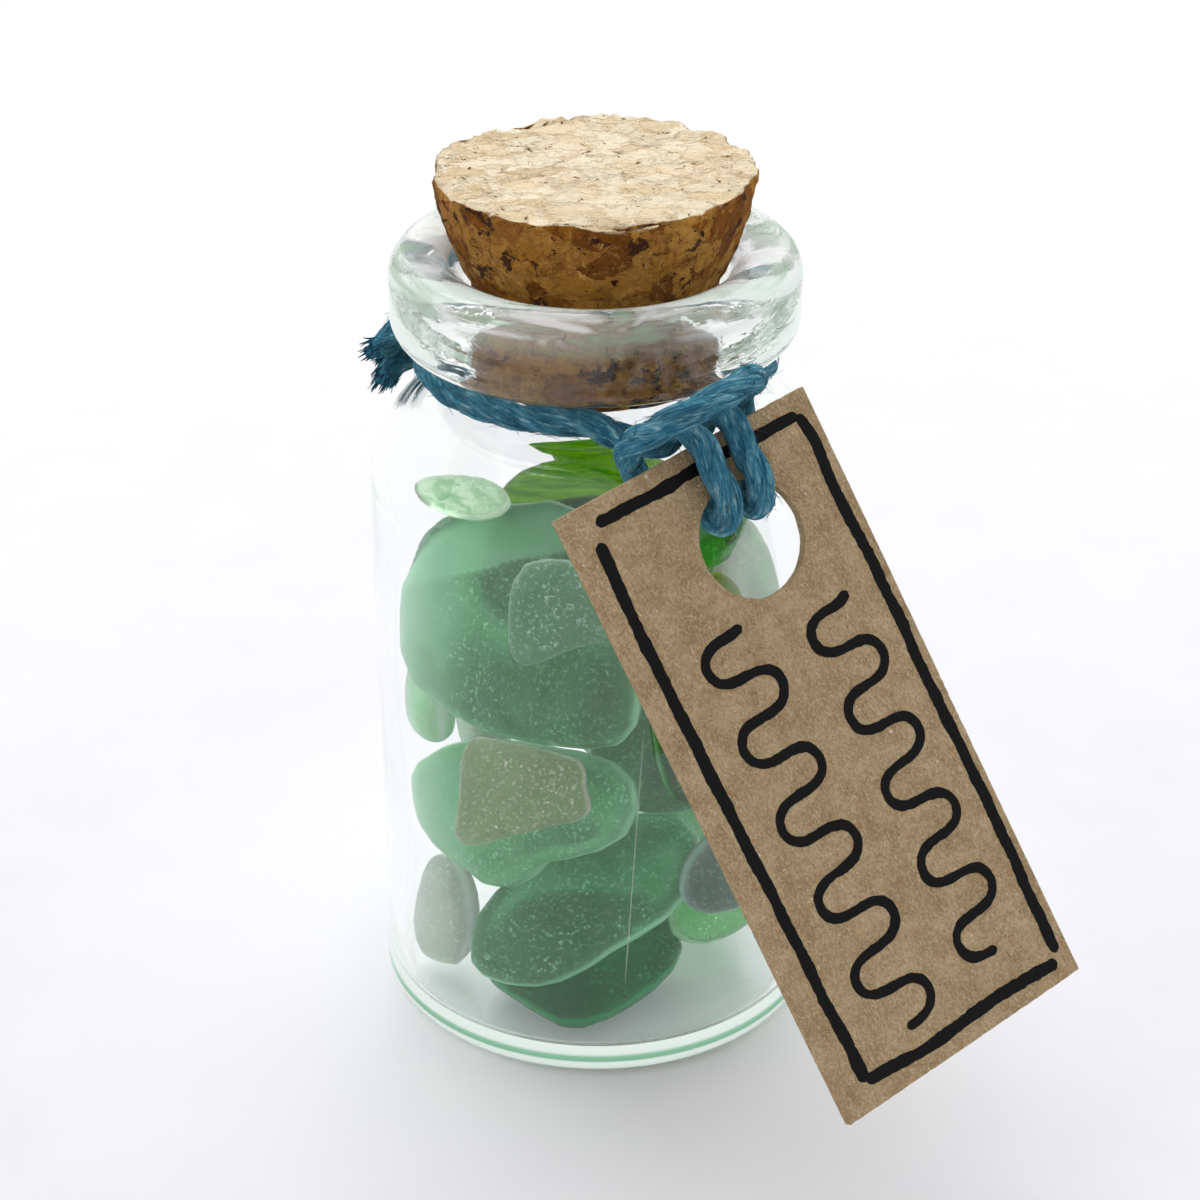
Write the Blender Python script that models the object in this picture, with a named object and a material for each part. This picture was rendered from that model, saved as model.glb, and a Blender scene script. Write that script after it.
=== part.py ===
"""Bottle of sea glass: a corked glass vial of frosted glass chips, with a card tag tied on with twine.

The bottle stands on the origin with its axis along +Z, and its front faces -Y.
"""
import math

import bmesh
import bpy
import numpy as np
from mathutils import Matrix, Vector
from mathutils.bvhtree import BVHTree

MM = 0.001

# Bottle
BODY_DIAMETER = 22.0 * MM
BASE_DIAMETER = 22.25 * MM
BASE_FLARE_HEIGHT = 3.5 * MM
BOTTLE_HEIGHT = 40.0 * MM
WALL = 0.85 * MM
FLOOR_THICKNESS = 1.15 * MM
HEEL_RADIUS = 0.9 * MM
INNER_HEEL_RADIUS = 0.6 * MM
SHOULDER_RADIUS = 5.2 * MM
SHOULDER_START = 28.1 * MM
NECK_DIAMETER = 14.2 * MM
NECK_FILLET = 1.0 * MM
BORE_DIAMETER = 12.3 * MM
LIP_DIAMETER = 19.5 * MM
LIP_HEIGHT = 4.45 * MM
LIP_UNDER_FILLET = 0.35 * MM
LIP_LOWER_ROUNDING = 1.2 * MM
LIP_UPPER_ROUNDING = 1.25 * MM
FUNNEL_DEPTH = 2.0 * MM
TURNED_STEPS = 56

# Cork
CORK_TOP_DIAMETER = 15.06 * MM
CORK_HEIGHT = 9.7 * MM
CORK_PROUD = 3.7 * MM
CORK_GAP = 0.3 * MM
CORK_EDGE = 0.3 * MM
# Height above the funnel's foot and growth from the plug's radius to the top's, as shares of each
CORK_FLARE_SHARES = ((0.0, 0.0), (0.33, 0.42), (0.5, 0.62), (0.72, 0.885), (0.95, 1.0))

# Card tag
TAG_WIDTH = 14.0 * MM
TAG_LENGTH = 30.0 * MM
TAG_THICKNESS = 0.5 * MM
TAG_HOLE_DIAMETER = 5.4 * MM
TAG_HOLE_FROM_TOP = 4.9 * MM
TAG_HOLE_OFFSET = 1.28 * MM
TAG_AZIMUTH = -60.1
TAG_LEAN = 30.2
TAG_ROLL = 12.4
TAG_DROP = 5.4 * MM
TAG_OFF_LIP = 0.5 * MM
TAG_SHIFT = -0.6 * MM
PIVOT_ABOVE_HOLE = 0.9 * MM
HOLE_STEPS = 32

# Twine
TWINE_DIAMETER = 1.4 * MM
TWINE_GAP = 0.3 * MM
TWINE_SELF_GAP = 0.4 * MM
TWINE_BELOW_LIP = 1.1 * MM
TWINE_SPACING = 0.8 * MM

# Chips
LARGEST_CHIP = 14.0 * MM
CHIP_THICKNESS = 3.2 * MM
CHIP_ROUNDING = 0.9 * MM
CHIP_CROWN = 0.15 * MM
CHIP_GAP = 0.3 * MM
WALL_SLACK = 0.05 * MM
HEADROOM = 4.85 * MM
CHIP_STEPS = 20
DROP_STEP = 0.25 * MM
SPREAD_GAP = 0.5 * MM
SPREAD_ROUNDS = 120
PUSH_ROUNDS = 120
NUDGE_ROUNDS = 120
NUDGE_STEP = 0.08 * MM
SINK_STEP = 0.02 * MM
PULL_SHARE = 0.04
MOST_DROP = 0.5 * MM

# Outlines of the chips, as shares of half their width and half their height
OUTLINE_SHARES = {
    "broad": (
        (-1.0, 0.0), (-0.85, 0.4), (-0.55, 0.7), (-0.2, 0.85), (0.2, 1.0), (0.6, 0.85),
        (0.85, 0.35), (0.95, -0.15), (1.0, -0.5), (0.9, -0.75), (0.6, -0.9), (0.1, -1.0),
        (-0.4, -0.95), (-0.8, -0.75), (-0.95, -0.35),
    ),
    "lobed": (
        (-1.0, -0.15), (-0.85, 0.2), (-0.5, 0.6), (0.0, 0.85), (0.6, 1.0), (0.9, 0.95),
        (1.0, 0.6), (0.9, 0.15), (0.6, -0.2), (0.35, -0.4), (0.2, -0.75), (-0.05, -1.0),
        (-0.4, -0.95), (-0.75, -0.8), (-0.95, -0.5),
    ),
    "bean": (
        (-1.0, -0.6), (-0.95, -0.25), (-0.65, 0.25), (-0.2, 0.7), (0.35, 0.95), (0.8, 1.0),
        (1.0, 0.65), (0.9, 0.2), (0.65, -0.2), (0.3, -0.5), (0.0, -0.8), (-0.3, -1.0),
        (-0.65, -1.0), (-0.92, -0.88),
    ),
    "square": (
        (-1.0, 0.4), (-0.95, 0.9), (-0.6, 1.0), (0.6, 1.0), (0.85, 0.85), (0.9, 0.5),
        (1.0, 0.2), (0.9, 0.0), (0.5, -0.2), (-0.1, -0.6), (-0.5, -0.85), (-0.85, -1.0),
        (-1.0, -0.8), (-0.95, -0.3),
    ),
    "cut": (
        (-1.0, -0.1), (-0.95, 0.45), (-0.75, 0.85), (-0.2, 1.0), (0.5, 0.95), (0.95, 0.6),
        (1.0, 0.0), (0.75, -0.3), (0.3, -0.45), (-0.15, -0.7), (-0.55, -0.95), (-0.8, -1.0),
        (-0.95, -0.7),
    ),
    "pointed": (
        (-0.95, 0.1), (-0.8, 0.6), (-0.4, 0.95), (0.2, 1.0), (0.75, 0.85), (1.0, 0.4),
        (0.9, -0.1), (0.6, -0.5), (0.25, -0.9), (-0.1, -1.0), (-0.4, -0.8), (-0.7, -0.55),
        (-0.95, -0.25),
    ),
    "shield": (
        (-1.0, 0.0), (-0.9, 0.45), (-0.55, 0.85), (0.0, 1.0), (0.6, 0.9), (0.95, 0.5),
        (1.0, -0.1), (0.85, -0.7), (0.4, -0.95), (-0.2, -1.0), (-0.65, -0.85), (-0.92, -0.5),
    ),
    "oval": (
        (-1.0, 0.0), (-0.75, 0.6), (-0.2, 0.95), (0.4, 0.95), (0.9, 0.5), (1.0, -0.1),
        (0.7, -0.65), (0.1, -1.0), (-0.5, -0.85), (-0.9, -0.45),
    ),
    "wedge": (
        (-1.0, -0.4), (-0.85, 0.2), (-0.5, 0.8), (0.0, 1.0), (0.55, 0.75), (0.9, 0.2),
        (1.0, -0.4), (0.7, -0.9), (0.1, -1.0), (-0.6, -0.9),
    ),
    "triangle": (
        (-0.9, -0.85), (-0.95, -0.3), (-0.5, 0.4), (-0.05, 0.95), (0.3, 0.9), (0.65, 0.3),
        (1.0, -0.45), (0.85, -0.9), (0.2, -1.0), (-0.4, -0.95),
    ),
    "shard": (
        (-1.0, -0.4), (-0.85, 0.3), (-0.3, 0.75), (0.4, 1.0), (0.9, 0.7), (1.0, 0.1),
        (0.6, -0.6), (0.0, -0.9), (-0.6, -1.0),
    ),
}

# Name, outline, colour, firmness, size (width, height and thickness as shares), place (x and y as shares of
# the inner radius, z as a share of the fill) and turn (direction of the front face, its tilt up, and its
# roll, in degrees). A firm chip keeps its place and the looser ones make way for it.
CHIPS = (
    ("dark_emerald_chip", "pointed", (0.02, 0.2, 0.09), 60,
     (0.7, 0.63, 0.5), (-0.08, -0.5, 0.041), (-95, 80, 0)),
    ("bright_green_chip", "wedge", (0.12, 0.5, 0.16), 3,
     (0.43, 0.3, 0.56), (0.57, -0.22, 0.159), (-50, 40, 0)),
    ("pale_grey_chip", "shard", (0.55, 0.68, 0.56), 5,
     (0.36, 0.34, 0.56), (-0.78, -0.2, 0.109), (-140, 8, 60)),
    ("floor_chip", "oval", (0.2, 0.5, 0.3), 1,
     (0.64, 0.36, 0.69), (0.0, 0.61, 0.052), (90, 78, 0)),
    ("lavender_chip", "oval", (0.42, 0.5, 0.52), 3,
     (0.33, 0.27, 0.5), (0.49, -0.41, 0.277), (-60, 12, 10)),
    ("lower_lobed_chip", "bean", (0.18, 0.46, 0.26), 60,
     (0.76, 0.66, 0.5), (-0.07, -0.47, 0.198), (-100, 50, 0)),
    ("left_back_chip", "wedge", (0.3, 0.42, 0.3), 2,
     (0.43, 0.43, 0.56), (-0.55, 0.2, 0.516), (-165, 8, 30)),
    ("heart_chip", "lobed", (0.25, 0.62, 0.36), 60,
     (1.0, 0.61, 0.56), (-0.41, -0.44, 0.402), (-130, 12, 0)),
    ("right_back_chip", "shield", (0.25, 0.45, 0.34), 1,
     (0.53, 0.46, 0.62), (0.45, 0.45, 0.223), (50, 20, 0)),
    ("grey_green_chip", "shield", (0.26, 0.4, 0.31), 4,
     (0.53, 0.71, 0.56), (0.3, -0.18, 0.487), (-95, 6, 0)),
    ("olive_chip", "square", (0.5, 0.54, 0.3), 20,
     (0.46, 0.39, 0.34), (-0.32, -0.72, 0.502), (-115, 14, 0)),
    ("dark_sliver", "shard", (0.02, 0.25, 0.05), 8,
     (0.47, 0.26, 0.56), (0.42, -0.43, 0.552), (-60, 10, 80)),
    ("left_pale_chip", "triangle", (0.42, 0.74, 0.45), 3,
     (0.29, 0.36, 0.44), (-0.82, -0.08, 0.509), (-155, 4, 10)),
    ("middle_back_chip", "lobed", (0.3, 0.6, 0.38), 1,
     (0.69, 0.54, 0.69), (0.02, 0.35, 0.477), (95, 12, 0)),
    ("big_frosted_chip", "broad", (0.24, 0.52, 0.33), 20,
     (1.0, 0.84, 0.69), (-0.38, -0.39, 0.787), (-125, 15, 0)),
    ("pale_front_chip", "cut", (0.45, 0.7, 0.5), 20,
     (0.4, 0.35, 0.31), (-0.12, -0.79, 0.873), (-107, 12, 0)),
    ("right_chip", "shield", (0.2, 0.5, 0.32), 1,
     (0.57, 0.67, 0.69), (0.57, 0.39, 0.616), (40, 10, 0)),
    ("emerald_back_chip", "oval", (0.04, 0.45, 0.1), 5,
     (0.69, 0.54, 0.56), (-0.06, 0.12, 0.816), (-95, -8, 10)),
    ("grey_white_chip", "shard", (0.68, 0.76, 0.66), 5,
     (0.59, 0.36, 0.5), (0.71, -0.16, 0.787), (-30, 10, 80)),
    ("olive_sliver", "shard", (0.48, 0.52, 0.16), 6,
     (0.6, 0.24, 0.5), (0.57, -0.49, 0.752), (-50, 8, 85)),
    ("hole_green_chip", "oval", (0.1, 0.45, 0.15), 4,
     (0.46, 0.36, 0.56), (0.51, -0.24, 0.909), (-60, 40, 20)),
    ("lime_top_chip", "oval", (0.35, 0.62, 0.12), 4,
     (0.64, 0.4, 0.5), (-0.18, -0.1, 0.92), (-92, 56, 5)),
    ("pale_top_shard", "shard", (0.55, 0.8, 0.55), 5,
     (0.4, 0.17, 0.37), (-0.61, -0.2, 0.98), (-140, 40, 8)),
)

# The twine's hitch, in mm from the tag's pivot: right, up along the tag, and out of its front
HITCH_POINTS = (
    (-2.33, 6.6, -4.51), (-1.6, 5.3, -3.2), (-1.0, 4.6, -2.0), (-0.8, 4.8, -0.95), (-0.75, 5.1, -0.1),
    (-0.75, 4.8, 0.75), (-0.75, 4.1, 1.25), (-0.75, 3.0, 1.25), (-0.75, 1.8, 1.25), (-0.75, 0.8, 0.9),
    (-0.75, 0.35, 0.0), (-0.8, 0.8, -0.85), (-1.1, 1.6, -1.25), (-2.1, 2.6, -1.25), (-2.9, 3.6, -1.25),
    (-3.15, 4.4, -1.2), (-3.2, 4.95, -0.75), (-3.2, 5.25, -0.1), (-3.1, 5.45, 0.8), (-2.6, 5.55, 1.9),
    (-1.6, 5.6, 2.7), (0.0, 5.6, 3.0), (1.6, 5.6, 2.7),
    (2.6, 5.55, 1.9), (3.1, 5.45, 0.8), (3.2, 5.25, -0.1), (3.2, 4.95, -0.75), (3.15, 4.4, -1.2),
    (2.9, 3.6, -1.25), (2.2, 2.6, -1.25), (1.4, 1.6, -1.25), (1.15, 0.7, -0.85), (1.12, 0.2, 0.0),
    (1.12, 0.7, 0.9), (1.12, 1.8, 1.25), (1.12, 3.0, 1.25), (1.12, 4.1, 1.25), (1.12, 4.8, 0.75),
    (1.12, 5.1, -0.1), (1.15, 4.8, -0.95), (1.3, 4.4, -2.0), (2.0, 4.45, -3.1), (3.59, 4.89, -3.82),
)
# Stretches of the neck's one turn on each side of the hitch: from and to, in degrees about the bottle's axis,
# and the steps between
FRONT_TURN = (-241.0, -105.0, 16)
BACK_TURN = (-32.0, 88.0, 14)

# The knot behind the neck's left side, in mm in the bottle's own frame: the two ends twist round one
# another along a line, and the first end turns back into it
KNOT_START = (-5.43, 9.64, 34.0)
KNOT_END = (-9.22, 6.09, 32.8)
KNOT_RADIUS = 1.03
KNOT_TURNS = 1.0
FIRST_TAIL = ((-10.45, 4.0, 31.25), (-10.1, 4.8, 31.5))
SECOND_TAIL = ((-10.2, 4.8, 33.5), (-10.7, 3.9, 33.3))
FIRST_END_BACK = ((-3.95, 9.95, 33.1), (-3.5, 9.2, 33.6), (-3.5, 8.2, 34.1))
SECOND_END_IN = ((-0.81, 9.1, 34.45), (-1.85, 10.2, 34.6), (-3.5, 11.0, 34.9))


def clear_scene():
    for item in list(bpy.data.objects):
        bpy.data.objects.remove(item)


def material(name, colour, roughness, metallic=0.0, alpha=1.0):
    finish = bpy.data.materials.new(name)
    finish.use_nodes = True
    shader = finish.node_tree.nodes["Principled BSDF"]
    shader.inputs["Base Color"].default_value = (*colour, 1.0)
    shader.inputs["Roughness"].default_value = roughness
    shader.inputs["Metallic"].default_value = metallic
    shader.inputs["Alpha"].default_value = alpha
    return finish


def add_object(name, mesh, finish):
    item = bpy.data.objects.new(name, mesh)
    mesh.materials.append(finish)
    bpy.context.scene.collection.objects.link(item)
    return item


def arc(centre, radius, start, end, steps):
    """Points on an arc, whose angles are in degrees."""
    points = []
    for index in range(steps + 1):
        angle = math.radians(start + (end - start) * index / steps)
        points.append((centre[0] + radius * math.cos(angle), centre[1] + radius * math.sin(angle)))
    return points


def turned(name, profile, finish):
    """A solid turned round Z from a profile that starts and ends on the axis."""
    shape = bmesh.new()
    corners = [shape.verts.new((radius, 0.0, height)) for radius, height in profile]
    edges = [shape.edges.new(pair) for pair in zip(corners, corners[1:])]
    bmesh.ops.spin(
        shape, geom=corners + edges, cent=(0.0, 0.0, 0.0), axis=(0.0, 0.0, 1.0),
        angle=math.tau, steps=TURNED_STEPS,
    )
    bmesh.ops.remove_doubles(shape, verts=shape.verts, dist=0.001 * MM)
    bmesh.ops.recalc_face_normals(shape, faces=shape.faces)
    mesh = bpy.data.meshes.new(name)
    shape.to_mesh(mesh)
    shape.free()
    mesh.shade_smooth()
    mesh.set_sharp_from_angle(angle=math.radians(40.0))
    return add_object(name, mesh, finish)


def neck_fillet(shoulder, neck, fillet):
    """The fillet's centre between a shoulder's arc and a neck's wall, and the angle where they meet."""
    across = neck + fillet - (BODY_DIAMETER / 2 - SHOULDER_RADIUS)
    angle = math.acos(across / (shoulder + fillet))
    height = SHOULDER_START + (shoulder + fillet) * math.sin(angle)
    return (neck + fillet, height), math.degrees(angle)


def shoulder_and_neck(shoulder, neck, fillet):
    """Points from the foot of the shoulder up to the neck's wall."""
    centre, meeting = neck_fillet(shoulder, neck, fillet)
    points = arc((BODY_DIAMETER / 2 - SHOULDER_RADIUS, SHOULDER_START), shoulder, 0.0, meeting, 7)
    return points + arc(centre, fillet, 180.0 + meeting, 180.0, 4)[1:]


def outer_profile():
    base = BASE_DIAMETER / 2
    lip = LIP_DIAMETER / 2
    lip_bottom = BOTTLE_HEIGHT - LIP_HEIGHT
    neck = NECK_DIAMETER / 2
    points = [(0.0, 0.0)]
    points += arc((base - HEEL_RADIUS, HEEL_RADIUS), HEEL_RADIUS, -90.0, 0.0, 4)
    points.append((BODY_DIAMETER / 2, BASE_FLARE_HEIGHT))
    points += shoulder_and_neck(SHOULDER_RADIUS, neck, NECK_FILLET)
    under = (neck + LIP_UNDER_FILLET, lip_bottom - LIP_UNDER_FILLET)
    points += arc(under, LIP_UNDER_FILLET, 180.0, 90.0, 2)
    lower = (lip - LIP_LOWER_ROUNDING, lip_bottom + LIP_LOWER_ROUNDING)
    points += arc(lower, LIP_LOWER_ROUNDING, -90.0, 0.0, 4)
    upper = (lip - LIP_UPPER_ROUNDING, BOTTLE_HEIGHT - LIP_UPPER_ROUNDING)
    points += arc(upper, LIP_UPPER_ROUNDING, 0.0, 90.0, 4)
    return points


def mouth_radius(height):
    """The glass's inner radius at a height in the mouth's funnel or the bore below it."""
    bore = BORE_DIAMETER / 2
    foot = BOTTLE_HEIGHT - FUNNEL_DEPTH
    if height <= foot:
        return bore
    reach = LIP_DIAMETER / 2 - LIP_UPPER_ROUNDING - bore
    rise = min(1.0, (height - foot) / FUNNEL_DEPTH)
    return bore + reach * (1.0 - math.sqrt(1.0 - rise * rise))


def inner_profile():
    """Points from the lip's crest down the inside to the middle of the floor."""
    points = []
    for index in range(1, 7):
        height = BOTTLE_HEIGHT - FUNNEL_DEPTH * (1.0 - math.cos(math.radians(15.0 * index)))
        points.append((mouth_radius(height), height))
    inner = BODY_DIAMETER / 2 - WALL
    bore = BORE_DIAMETER / 2
    inner_fillet = NECK_FILLET + NECK_DIAMETER / 2 - bore
    points += reversed(shoulder_and_neck(SHOULDER_RADIUS - WALL, bore, inner_fillet))
    heel = (inner - INNER_HEEL_RADIUS, FLOOR_THICKNESS + INNER_HEEL_RADIUS)
    points += arc(heel, INNER_HEEL_RADIUS, 0.0, -90.0, 3)
    points.append((0.0, FLOOR_THICKNESS))
    return points


def make_bottle():
    finish = material("clear_glass", (0.93, 0.97, 0.95), 0.03, alpha=0.25)
    return turned("glass_bottle", outer_profile() + inner_profile(), finish)


def cork_radius(height):
    """The stopper's radius at a height: a plug in the bore, and above it a flare that clears the funnel."""
    foot = BOTTLE_HEIGHT - FUNNEL_DEPTH
    top = BOTTLE_HEIGHT + CORK_PROUD
    plug = BORE_DIAMETER / 2 - CORK_GAP
    share = (height - foot) / (top - foot)
    growth = 1.0
    for (low, low_growth), (high, high_growth) in zip(CORK_FLARE_SHARES, CORK_FLARE_SHARES[1:]):
        if share < high:
            growth = low_growth + (high_growth - low_growth) * max(0.0, share - low) / (high - low)
            break
    radius = plug + (CORK_TOP_DIAMETER / 2 - plug) * growth
    if height < BOTTLE_HEIGHT:
        radius = min(radius, mouth_radius(height) - CORK_GAP)
    return radius


def make_cork():
    top = BOTTLE_HEIGHT + CORK_PROUD
    bottom = top - CORK_HEIGHT
    foot = BOTTLE_HEIGHT - FUNNEL_DEPTH
    plug = cork_radius(bottom)
    profile = [(0.0, bottom), (plug - CORK_EDGE, bottom), (plug, bottom + CORK_EDGE)]
    for share, _ in CORK_FLARE_SHARES:
        height = foot + (top - foot) * share
        profile.append((cork_radius(height), height))
    profile.append((cork_radius(top) - CORK_EDGE / 2, top))
    profile.append((0.0, top))
    return turned("cork_stopper", profile, material("cork", (0.72, 0.50, 0.28), 0.85))


def twine_ring():
    """Radius and height of the twine's centre line where it goes round the neck."""
    radius = NECK_DIAMETER / 2 + TWINE_GAP + TWINE_DIAMETER / 2
    return radius, BOTTLE_HEIGHT - LIP_HEIGHT - TWINE_BELOW_LIP


def tag_frame():
    """The tag's frame: its pivot, and its axes to the right, up along the card and out of its front.

    The card leans out from the neck. It lies off the twine round the neck by one strand that passes between.
    """
    azimuth = math.radians(TAG_AZIMUTH)
    lean = math.radians(TAG_LEAN)
    outward = Vector((math.cos(azimuth), math.sin(azimuth), 0.0))
    front = outward * math.cos(lean) + Vector((0.0, 0.0, math.sin(lean)))
    along = Vector((-math.sin(azimuth), math.cos(azimuth), 0.0))
    rise = front.cross(along)
    roll = math.radians(TAG_ROLL)
    right = along * math.cos(roll) + rise * math.sin(roll)
    up = rise * math.cos(roll) - along * math.sin(roll)
    radius, height = twine_ring()
    nearest = outward * radius + Vector((0.0, 0.0, height))
    stand_off = 1.5 * TWINE_DIAMETER + TWINE_SELF_GAP + TWINE_GAP + TAG_THICKNESS / 2 + TAG_OFF_LIP
    pivot = nearest + front * stand_off - rise * TAG_DROP + along * TAG_SHIFT
    return pivot, right, up, front


def make_tag():
    """The card, with its object's origin on the pivot that it swings about."""
    pivot, right, up, front = tag_frame()
    hole_x = 0.0
    hole_y = -PIVOT_ABOVE_HOLE
    left = hole_x - TAG_HOLE_OFFSET - TAG_WIDTH / 2
    top = hole_y + TAG_HOLE_FROM_TOP
    shape = bmesh.new()
    corners = [
        (left, top - TAG_LENGTH), (left + TAG_WIDTH, top - TAG_LENGTH), (left + TAG_WIDTH, top), (left, top),
    ]
    hole = arc((hole_x, hole_y), TAG_HOLE_DIAMETER / 2, 0.0, 360.0, HOLE_STEPS)[:-1]
    for loop in (corners, hole):
        verts = [shape.verts.new((x, y, -TAG_THICKNESS / 2)) for x, y in loop]
        for index, vert in enumerate(verts):
            shape.edges.new((vert, verts[(index + 1) % len(verts)]))
    bmesh.ops.triangle_fill(shape, edges=shape.edges, use_beauty=True)
    faces = bmesh.ops.extrude_face_region(shape, geom=shape.faces)
    raised = [item for item in faces["geom"] if isinstance(item, bmesh.types.BMVert)]
    bmesh.ops.translate(shape, verts=raised, vec=(0.0, 0.0, TAG_THICKNESS))
    bmesh.ops.recalc_face_normals(shape, faces=shape.faces)
    mesh = bpy.data.meshes.new("tag_card")
    shape.to_mesh(mesh)
    shape.free()
    tag = add_object("tag_card", mesh, material("kraft_card", (0.48, 0.32, 0.18), 0.9))
    tag.matrix_world = Matrix.Translation(pivot) @ Matrix((right, up, front)).transposed().to_4x4()
    return tag


def ring_points(start, end, steps):
    """Points of the twine's turn round the neck, between two directions in degrees."""
    radius, height = twine_ring()
    plan = arc((0.0, 0.0), radius, start, end, steps)
    return [Vector((x, y, height)) for x, y in plan]


def hitch_points():
    pivot, right, up, front = tag_frame()
    return [pivot + (right * x + up * y + front * z) * MM for x, y, z in HITCH_POINTS]


def curve_point(before, start, end, after, share):
    """The point at a share of the way from start to end, on a smooth curve through all four."""
    return 0.5 * (
        2 * start + (end - before) * share
        + (2 * before - 5 * start + 4 * end - after) * share ** 2
        + (3 * start - before - 3 * end + after) * share ** 3
    )


def smooth_route(points, spacing):
    """Points at even spacing along a smooth curve through the given points."""
    ends = [2 * points[0] - points[1], *points, 2 * points[-1] - points[-2]]
    fine = []
    for before, start, end, after in zip(ends, ends[1:], ends[2:], ends[3:]):
        for index in range(16):
            fine.append(curve_point(before, start, end, after, index / 16))
    fine.append(points[-1])
    lengths = [0.0]
    for first, second in zip(fine, fine[1:]):
        lengths.append(lengths[-1] + (second - first).length)
    count = max(2, round(lengths[-1] / spacing))
    route = []
    place = 0
    for index in range(count + 1):
        wanted = lengths[-1] * index / count
        while place < len(fine) - 2 and lengths[place + 1] < wanted:
            place += 1
        share = (wanted - lengths[place]) / max(lengths[place + 1] - lengths[place], 1e-12)
        route.append(fine[place].lerp(fine[place + 1], min(1.0, share)))
    return route


def least_self_gap(route, diameter):
    """The least gap between two stretches of the tube that aren't next to each other along it."""
    apart = math.ceil(2.2 * diameter / (route[1] - route[0]).length)
    least = math.inf
    for index, point in enumerate(route):
        for other in route[index + apart:]:
            least = min(least, (point - other).length)
    return least - diameter


def knot_strand(side):
    """One end's way through the knot, on one side (1 or -1) of the other end."""
    start = Vector(KNOT_START)
    end = Vector(KNOT_END)
    along = (end - start).normalized()
    inward = along.cross(Vector((0.0, 0.0, 1.0))).normalized()
    upward = inward.cross(along)
    points = []
    for index in range(9):
        share = index / 8
        angle = math.tau * KNOT_TURNS * share + side * math.pi / 2
        offset = inward * math.cos(angle) + upward * math.sin(angle)
        points.append((start.lerp(end, share) + offset * KNOT_RADIUS) * MM)
    return points


def in_mm(points):
    return [Vector(point) * MM for point in points]


def twine_route():
    points = in_mm(FIRST_TAIL)
    points += reversed(knot_strand(-1))
    points += in_mm(FIRST_END_BACK)
    points += ring_points(*FRONT_TURN)
    points += hitch_points()
    points += ring_points(*BACK_TURN)
    points += in_mm(SECOND_END_IN)
    points += knot_strand(1)
    points += in_mm(SECOND_TAIL)
    return smooth_route(points, TWINE_SPACING)


def make_twine():
    route = twine_route()
    curve = bpy.data.curves.new("neck_twine", "CURVE")
    curve.dimensions = "3D"
    curve.bevel_depth = TWINE_DIAMETER / 2
    curve.bevel_resolution = 2
    curve.use_fill_caps = True
    spline = curve.splines.new("POLY")
    spline.points.add(len(route) - 1)
    for point, place in zip(spline.points, route):
        point.co = (*place, 1.0)
    curve.materials.append(material("blue_twine", (0.05, 0.18, 0.27), 0.9))
    twine = bpy.data.objects.new("neck_twine", curve)
    bpy.context.scene.collection.objects.link(twine)
    gap = least_self_gap(route, TWINE_DIAMETER) / MM
    print(f"twine: {len(route)} points, least gap to itself {gap:.2f} mm")
    return twine


def smooth_outline(shares, steps):
    """A closed smooth curve through an outline's points."""
    count = len(shares)
    outline = []
    for step in range(steps):
        place = step * count / steps
        index = int(place)
        t = place - index
        corners = [Vector(shares[(index + shift) % count]) for shift in (-1, 0, 1, 2)]
        outline.append(tuple(curve_point(*corners, t)))
    return outline


def chip_mesh(name, outline, width, height, thickness):
    """A worn plate with rounded edges and slightly domed faces: X across, Y up, and its front at +Z."""
    rounding = min(CHIP_ROUNDING, thickness / 2)
    half = thickness / 2
    # Inset from the outline and height above the middle, for each ring from the back to the front
    rings = []
    for degrees, side in ((-90.0, -1), (-45.0, -1), (0.0, -1), (0.0, 1), (45.0, 1), (90.0, 1)):
        angle = math.radians(degrees)
        level = side * (half - rounding) + rounding * math.sin(angle)
        rings.append((rounding * (1.0 - math.cos(angle)), level))
    shape = bmesh.new()
    shares = smooth_outline(OUTLINE_SHARES[outline], CHIP_STEPS)
    loops = []
    for inset, level in rings:
        reach = (width / 2 - inset, height / 2 - inset)
        loops.append([shape.verts.new((across * reach[0], up * reach[1], level)) for across, up in shares])
    for low, high in zip(loops, loops[1:]):
        for index in range(CHIP_STEPS):
            after = (index + 1) % CHIP_STEPS
            shape.faces.new((low[index], low[after], high[after], high[index]))
    for loop, side in ((loops[0], -1.0), (loops[-1], 1.0)):
        middle = shape.verts.new((0.0, 0.0, side * (half + CHIP_CROWN)))
        for index in range(CHIP_STEPS):
            shape.faces.new((loop[index], loop[(index + 1) % CHIP_STEPS], middle))
    bmesh.ops.recalc_face_normals(shape, faces=shape.faces)
    mesh = bpy.data.meshes.new(name)
    shape.to_mesh(mesh)
    shape.free()
    mesh.shade_smooth()
    return mesh


def chip_turn(direction, tilt, roll):
    """Rotation that faces the chip's front along a direction, tilted up, and rolls it in its own plane."""
    azimuth = math.radians(direction)
    raised = math.radians(tilt)
    front = Vector((
        math.cos(azimuth) * math.cos(raised), math.sin(azimuth) * math.cos(raised), math.sin(raised),
    ))
    right = Vector((-math.sin(azimuth), math.cos(azimuth), 0.0))
    up = front.cross(right)
    return Matrix((right, up, front)).transposed() @ Matrix.Rotation(math.radians(roll), 3, "Z")


def balls_in_chip(outline, width, height, thickness):
    """Centres, in the chip's middle plane, of balls as thick as the chip that fill it."""
    centres = [(0.0, 0.0, 0.0)]
    for ring, steps in ((0.35, 6), (0.7, 12), (1.0, 20)):
        across = ring * (width - thickness) / 2
        up = ring * (height - thickness) / 2
        centres += [(across * x, up * y, 0.0) for x, y in smooth_outline(OUTLINE_SHARES[outline], steps)]
    return np.array(centres)


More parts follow.
